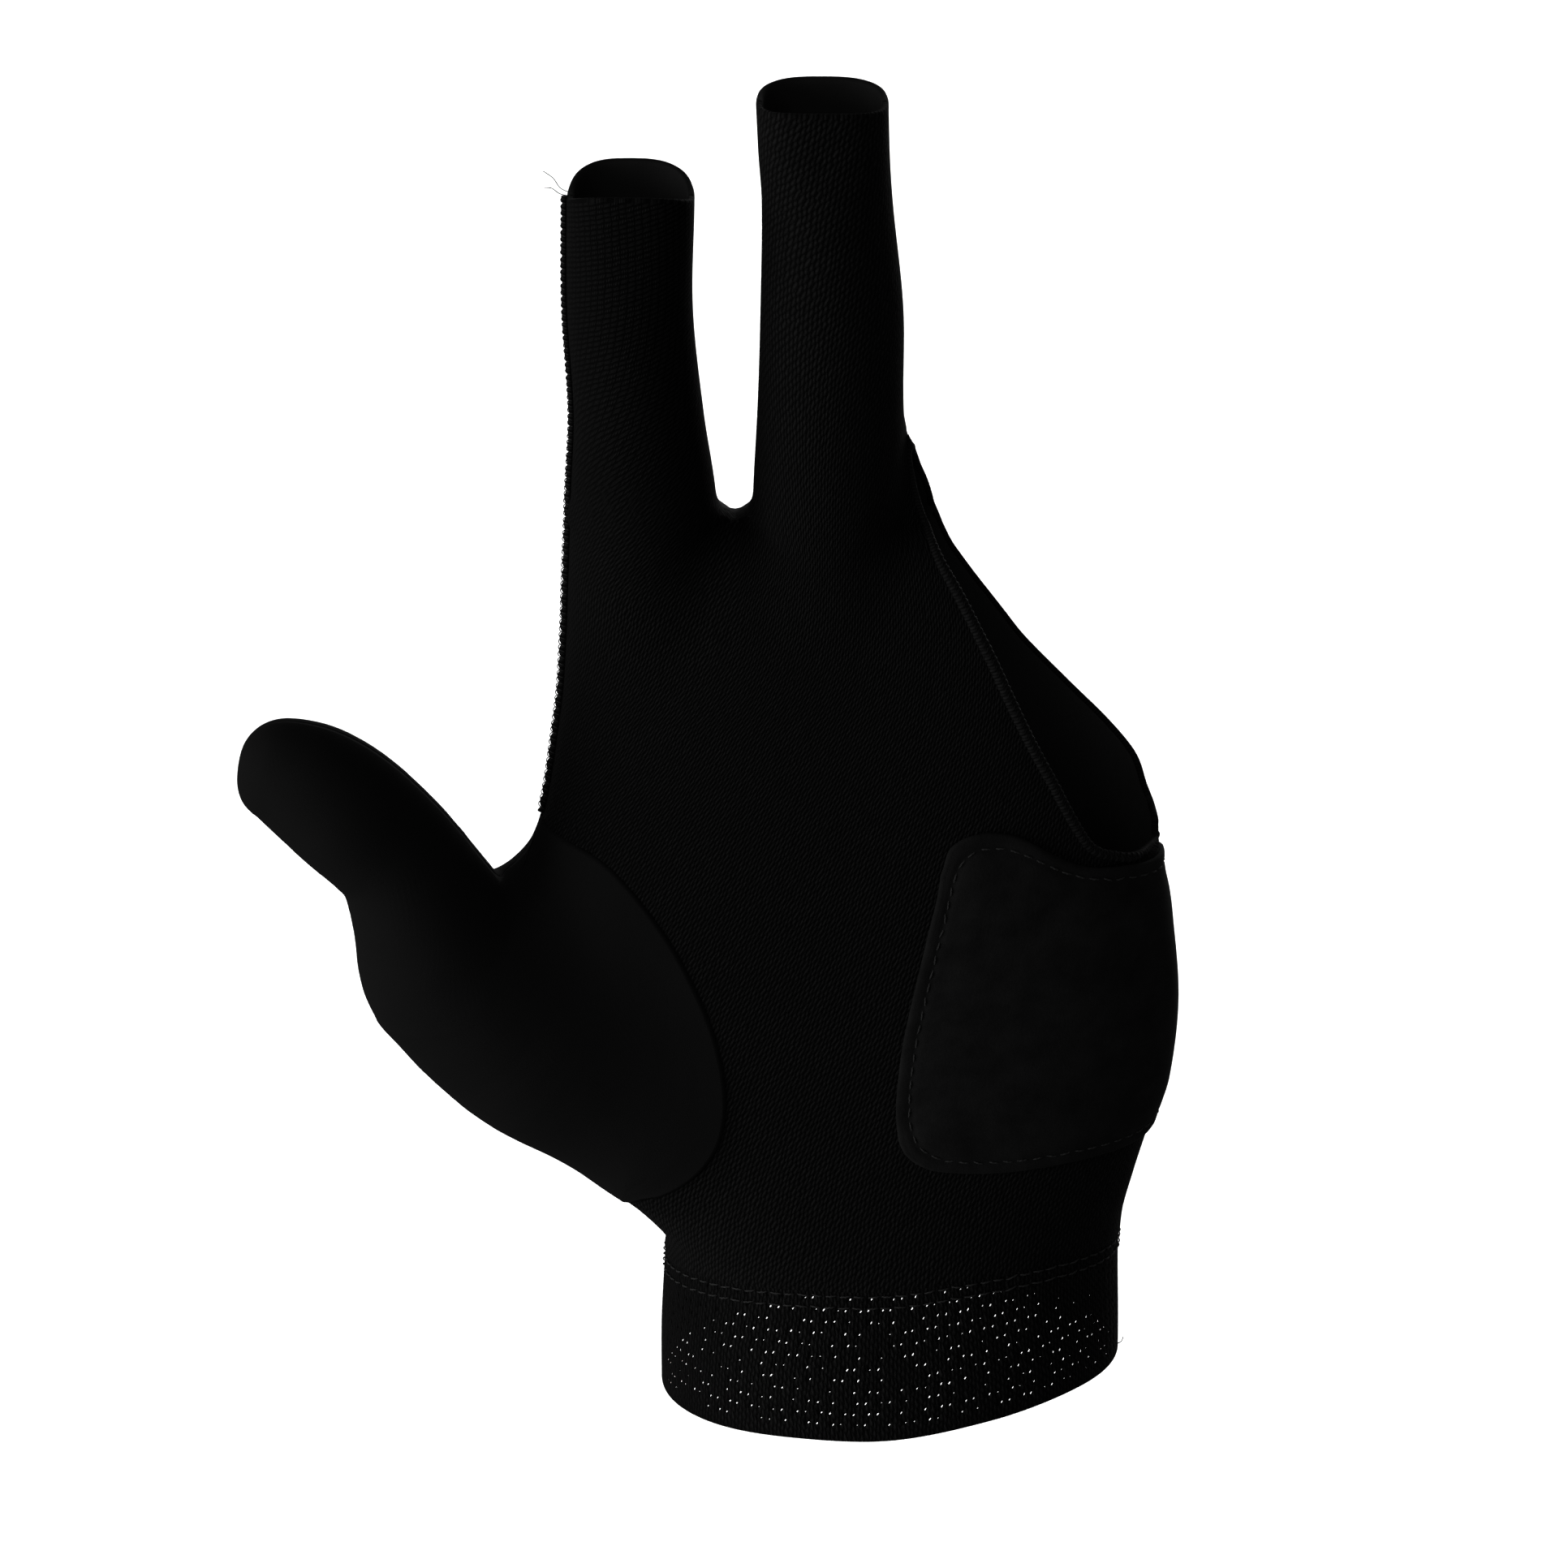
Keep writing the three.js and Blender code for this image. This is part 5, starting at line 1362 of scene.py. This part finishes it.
def wrist_line(below):
    """Closed line round the wrist, `below` millimetres under the sewn joint."""
    turn = np.linspace(0, 2 * np.pi, 400, endpoint=False)
    return evenly(wrist_points(turn, 1, -below), 0.6, True)


upper_stitches = stitch_row("wrist_stitch_upper", wrist_line(1.0), -0.06, 2.1, 1.75, 0.03)
lower_stitches = stitch_row("wrist_stitch_lower", wrist_line(2.8), -0.06, 2.1, 1.75, 0.03)

# Binding of the opening
# The edge for the ring and little fingers is rolled over. Over the palm it is whipped with thread, so it
# reads as a twisted cord, and it runs out at the top, beside the middle finger.
HEM_TOP_Z = 150.5


def smooth_line(points, spacing):
    """Catmull-Rom curve through points, with its points `spacing` apart."""
    return evenly(lofted(points[:, None, :], 6)[:, 0], spacing, False)


def cut_edge(side):
    """The panel's own edge from the foot of the opening to its top: half the cloth's wall deep over the
    back, and nearer to its face over the palm, where the thread lies on it."""
    levels = np.linspace(88.2, HEM_TOP_Z, 56)
    angle = strip_end(levels, side)
    edge = skin_point(line_at(MIDDLE_AXIS, levels), strip_direction(angle, side))
    return edge - outward(edge) * (0.25 if side == PALM else 0.5)


def binding_line():
    """The whole edge: down over the palm, round the corner at the foot and up over the back."""
    corner = skin_point(line_at(MIDDLE_AXIS, HEM_FOOT_Z), (1.0, 0, 0)) - np.array([0.5, 0, 0])
    return np.vstack([cut_edge(PALM)[::-1], corner[None], cut_edge(BACK)])


def thread_tube(name, line, radius, sides):
    """A tube along a line. radius is a function of the distance run and the angle round the line, in whole
    arrays, and the angle starts at the side that faces away from the hand's middle."""
    run = run_along(line)
    ahead = unit(np.gradient(line, axis=0))
    out = outward(line)
    out = unit(out - ahead * (out * ahead).sum(axis=1, keepdims=True))
    aside = np.cross(ahead, out)
    turn = np.linspace(0, 2 * np.pi, sides, endpoint=False)
    ring = out[:, None] * np.cos(turn)[:, None] + aside[:, None] * np.sin(turn)[:, None]
    points = line[:, None] + ring * radius(run[:, None], turn[None])[..., None]
    return thread_mesh(name, points[None], run[None], turn * 0.8, black_thread)


hem_line = smooth_line(binding_line(), 0.12)
hem_foot = run_along(hem_line)[np.argmin(hem_line[:, 2])]
# Radius of the roll and its swell, spacing and height of the whipping, and height and place of the knot
BINDING_RADIUS = 0.52
BINDING_SWELL = 0.26
WHIPPING_PITCH = 0.95
WHIPPING_RIDGE = 0.16
KNOT_HEIGHT = 0.35
KNOT_AT = 1.6


def whipped(run, turn):
    """Thickness of the rolled edge. Over the palm it is 0.52 mm with a swell to 0.78 half-way, whipped with
    threads 0.95 mm apart at a slant, each a rounded ridge 0.16 mm high. Over the back it is a plain roll of
    0.52 mm. Where the whipping is fastened off, at the top, it has a knot 0.35 mm proud."""
    over_palm = smooth_step(run, 9, 24) * (1 - smooth_step(run, hem_foot - 12, hem_foot - 4))
    swell = np.sin(np.pi * np.clip(run / hem_foot, 0, 1))
    body = BINDING_RADIUS + over_palm * BINDING_SWELL * swell
    wound = 0.5 + 0.5 * np.cos(2 * np.pi * run / WHIPPING_PITCH - turn)
    ridge = WHIPPING_RIDGE * over_palm * np.sqrt(np.maximum(wound, 0))
    knot = KNOT_HEIGHT * np.exp(-(((run - KNOT_AT) / 0.9) ** 2))
    return body + ridge + knot


binding = thread_tube("opening_whipping", hem_line, whipped, 20)
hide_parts("opening_binding")

# Index side seam
# The outer seam of the index finger is overlocked on the outside and runs on down to the thumb. Its core
# stands out in scallops, with grey thread loops over them.

# Spacing of the scallops, radius of the core, and height of the scallops at the top and what they gain lower
# down, then spacing, reach and thread radius of the loops
SCALLOP_PITCH = 2.0
SEAM_CORE = 0.38
SCALLOP = 0.2
SCALLOP_GAIN = 0.2
LOOP_PITCH = 1.0
LOOP_REACH = 0.86
LOOP_THREAD = 0.085
seam_z = np.linspace(INDEX_RIM[0] - INDEX_RIM[1] + 0.3, THUMB_TOP_Z + 0.8, 420)
seam_line = skin_point(line_at(INDEX_AXIS, seam_z), (-1.0, 0, 0))
seam_line = evenly(seam_line + outward(seam_line) * 0.25, 0.14, False)


def stretched_less(run):
    """0 at the top of the seam and 1 lower down, where the seam is stretched less and its thread stands out
    more."""
    return smooth_step(run, 25, 60)


def scalloped(run, turn):
    """Seam thickness: a core of 0.38 mm with a lobe at every 2 mm, strongest outwards and rounded by a
    power of the cosine. The lobes grow from 0.2 to 0.4 mm down the finger, where the seam is stretched
    less."""
    lobe = np.abs(np.cos(np.pi * run / SCALLOP_PITCH)) ** 0.7
    outwards = 0.35 + 0.65 * np.maximum(np.cos(turn), 0)
    return SEAM_CORE + (SCALLOP + SCALLOP_GAIN * stretched_less(run)) * lobe * outwards


index_seam = thread_tube("index_overlock", seam_line, scalloped, 14)
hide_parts("index_side_seam")


def overlock_threads(name, line):
    """Thread loops over the seam: each is an arc from the palm side over the seam to the back side, leaning
    almost half a pitch to either side of its middle as it goes, as a tube of 5 sides."""
    run = run_along(line)
    count = int(run[-1] // LOOP_PITCH)
    rng = np.random.default_rng(5)
    middle = (np.arange(count) + 0.5) * LOOP_PITCH + rng.uniform(-0.08, 0.08, count)
    t = np.linspace(-1, 1, 9)
    at = middle[:, None] + 0.42 * LOOP_PITCH * t[None]
    spot = np.stack([np.interp(at, run, line[:, k]) for k in range(3)], axis=-1)
    normal = outward(spot)
    ahead = np.gradient(line, axis=0)
    ahead = unit(np.stack([np.interp(at, run, ahead[:, k]) for k in range(3)], axis=-1))
    aside = np.cross(normal, ahead)
    bow = np.pi / 2 * t[None, :, None] * 1.15
    proud = LOOP_REACH * (0.72 + 0.28 * stretched_less(at))[..., None]
    spot = spot + normal * proud * np.cos(bow) + aside * proud * 1.05 * np.sin(bow)
    forward = unit(np.gradient(spot, axis=1))
    first = unit(np.cross(forward, ahead))
    second = np.cross(forward, first)
    turn = np.linspace(0, 2 * np.pi, 5, endpoint=False)
    ring = first[:, :, None] * np.cos(turn)[:, None] + second[:, :, None] * np.sin(turn)[:, None]
    points = spot[:, :, None] + ring * LOOP_THREAD
    return thread_mesh(name, points, at, turn, grey_thread, inwards=True)


overlock_threads("index_overlock_threads", seam_line)


def end_radius(run, turn):
    """The same 0.075 mm all along and all round."""
    return 0.075 + 0 * run * turn


# Two cut thread ends stick out at the top of the seam, and one at the far end of the wrist hem
THREAD_ENDS = {
    "seam_thread_end_upper": [
        (-46.9, -0.3, 187.6), (-48.2, -0.4, 188.3), (-49.2, -0.8, 189.9), (-50.6, -1.0, 191.0),
    ],
    "seam_thread_end_lower": [
        (-46.9, -0.2, 187.0), (-48.3, -0.6, 187.5), (-49.4, -0.6, 188.3), (-50.5, -0.9, 188.5),
    ],
    "wrist_thread_end": [
        (33.6, -2.0, 5.6), (34.4, -2.2, 5.2), (35.1, -2.2, 5.5), (35.4, -2.3, 6.3),
    ],
}
for name, places in THREAD_ENDS.items():
    thread_tube(name, smooth_line(np.array(places), 0.12), end_radius, 6)

# Studio and camera
# A pale floor well below the glove, which hangs on its mount, a large soft light from the left and front
# with a weak one above it and one behind, and a camera 22 degrees above the palm.
STUDIO_RADIUS = 6.0
FLOOR_Z = -0.42
FLOOR_SIDES = 96
DOME_RINGS = 24
CAMERA_ELEVATION = 22
CAMERA_DISTANCE = 1.2
PHOTO_WIDTH = 1932
FOCAL_PIXELS = 10000
turn = np.linspace(0, 2 * np.pi, FLOOR_SIDES, endpoint=False)
circle = np.stack([np.cos(turn), np.sin(turn), 0 * turn], axis=-1) * STUDIO_RADIUS
floor_mesh = bpy.data.meshes.new("floor")
floor_mesh.from_pydata((circle + (0, 0, FLOOR_Z)).tolist(), [], [list(range(FLOOR_SIDES))])
floor = placed("floor", floor_mesh)
rise = np.radians(np.linspace(0, 88, DOME_RINGS))[:, None, None]
dome = circle[None] * np.cos(rise) + np.array([0, 0, STUDIO_RADIUS]) * np.sin(rise) + (0, 0, FLOOR_Z)
index = np.arange(DOME_RINGS * FLOOR_SIDES).reshape(DOME_RINGS, FLOOR_SIDES)
after = np.roll(index, -1, axis=1)
dome_faces = np.stack([index[:-1], index[1:], after[1:], after[:-1]], axis=-1).reshape(-1, 4)
backdrop_mesh = bpy.data.meshes.new("backdrop")
backdrop_mesh.from_pydata(dome.reshape(-1, 3).tolist(), [], dome_faces.tolist() + [index[-1, ::-1].tolist()])
backdrop = placed("backdrop", backdrop_mesh)
# The backdrop and the floor are only a background: they cast no light or shade on the glove
for stage_piece in (floor, backdrop):
    stage_piece.visible_diffuse = False
    stage_piece.visible_glossy = False
    stage_piece.visible_transmission = False
    stage_piece.visible_shadow = False
paper = bpy.data.materials.new("white backdrop paper")
paper.use_nodes = True
paper_shader = paper.node_tree.nodes["Principled BSDF"]
paper_shader.inputs["Base Color"].default_value = srgb("#f6f6f6")
paper_shader.inputs["Emission Color"].default_value = (1, 1, 1, 1)
paper_shader.inputs["Emission Strength"].default_value = 1.0
backdrop_mesh.materials.append(paper)

target = Vector((-0.01607, 0.0, 0.09584))
elevation = np.radians(CAMERA_ELEVATION)
camera_data = bpy.data.cameras.new("camera")
camera_data.sensor_width = 36
camera_data.lens = FOCAL_PIXELS / PHOTO_WIDTH * camera_data.sensor_width
camera = placed("camera", camera_data)
towards = Vector((0.0, -float(np.cos(elevation)), float(np.sin(elevation))))
camera.location = target + towards * CAMERA_DISTANCE
camera.rotation_euler = towards.to_track_quat("Z", "Y").to_euler()
bpy.context.scene.camera = camera

world = bpy.data.worlds.new("studio")
world.use_nodes = True
world.node_tree.nodes["Background"].inputs["Color"].default_value = (1, 1, 1, 1)
world.node_tree.nodes["Background"].inputs["Strength"].default_value = 0.17
bpy.context.scene.world = world
bpy.context.scene.view_settings.view_transform = "Standard"

floor_paint, _, floor_shader = new_finish("pale floor paint", 0.9, 0.2)
floor_shader.inputs["Base Color"].default_value = srgb("#f6f6f6")
floor_mesh.materials.append(floor_paint)


def soft_light(name, place, size, power):
    """A square area light that looks at the glove's middle."""
    data = bpy.data.lights.new(name, "AREA")
    data.size = size
    data.energy = power
    lamp = placed(name, data)
    lamp.location = place
    lamp.rotation_euler = (Vector(place) - target).to_track_quat("Z", "Y").to_euler()


soft_light("key", (-2.05, -0.66, 0.0), 1.7, 51)
soft_light("high_fill", (-1.0, -1.6, 1.35), 1.0, 6)
soft_light("back_fill", (0.5, 2.1, 0.5), 1.6, 16)

# The floor has a light of its own, from straight above, so that it is evenly pale
floor_light_data = bpy.data.lights.new("floor_light", "SUN")
floor_light_data.energy = 3.6
floor_light_data.angle = 0.5
floor_light = placed("floor_light", floor_light_data)
only_floor = bpy.data.collections.new("lit_by_floor_light")
only_floor.objects.link(floor)
floor_light.light_linking.receiver_collection = only_floor
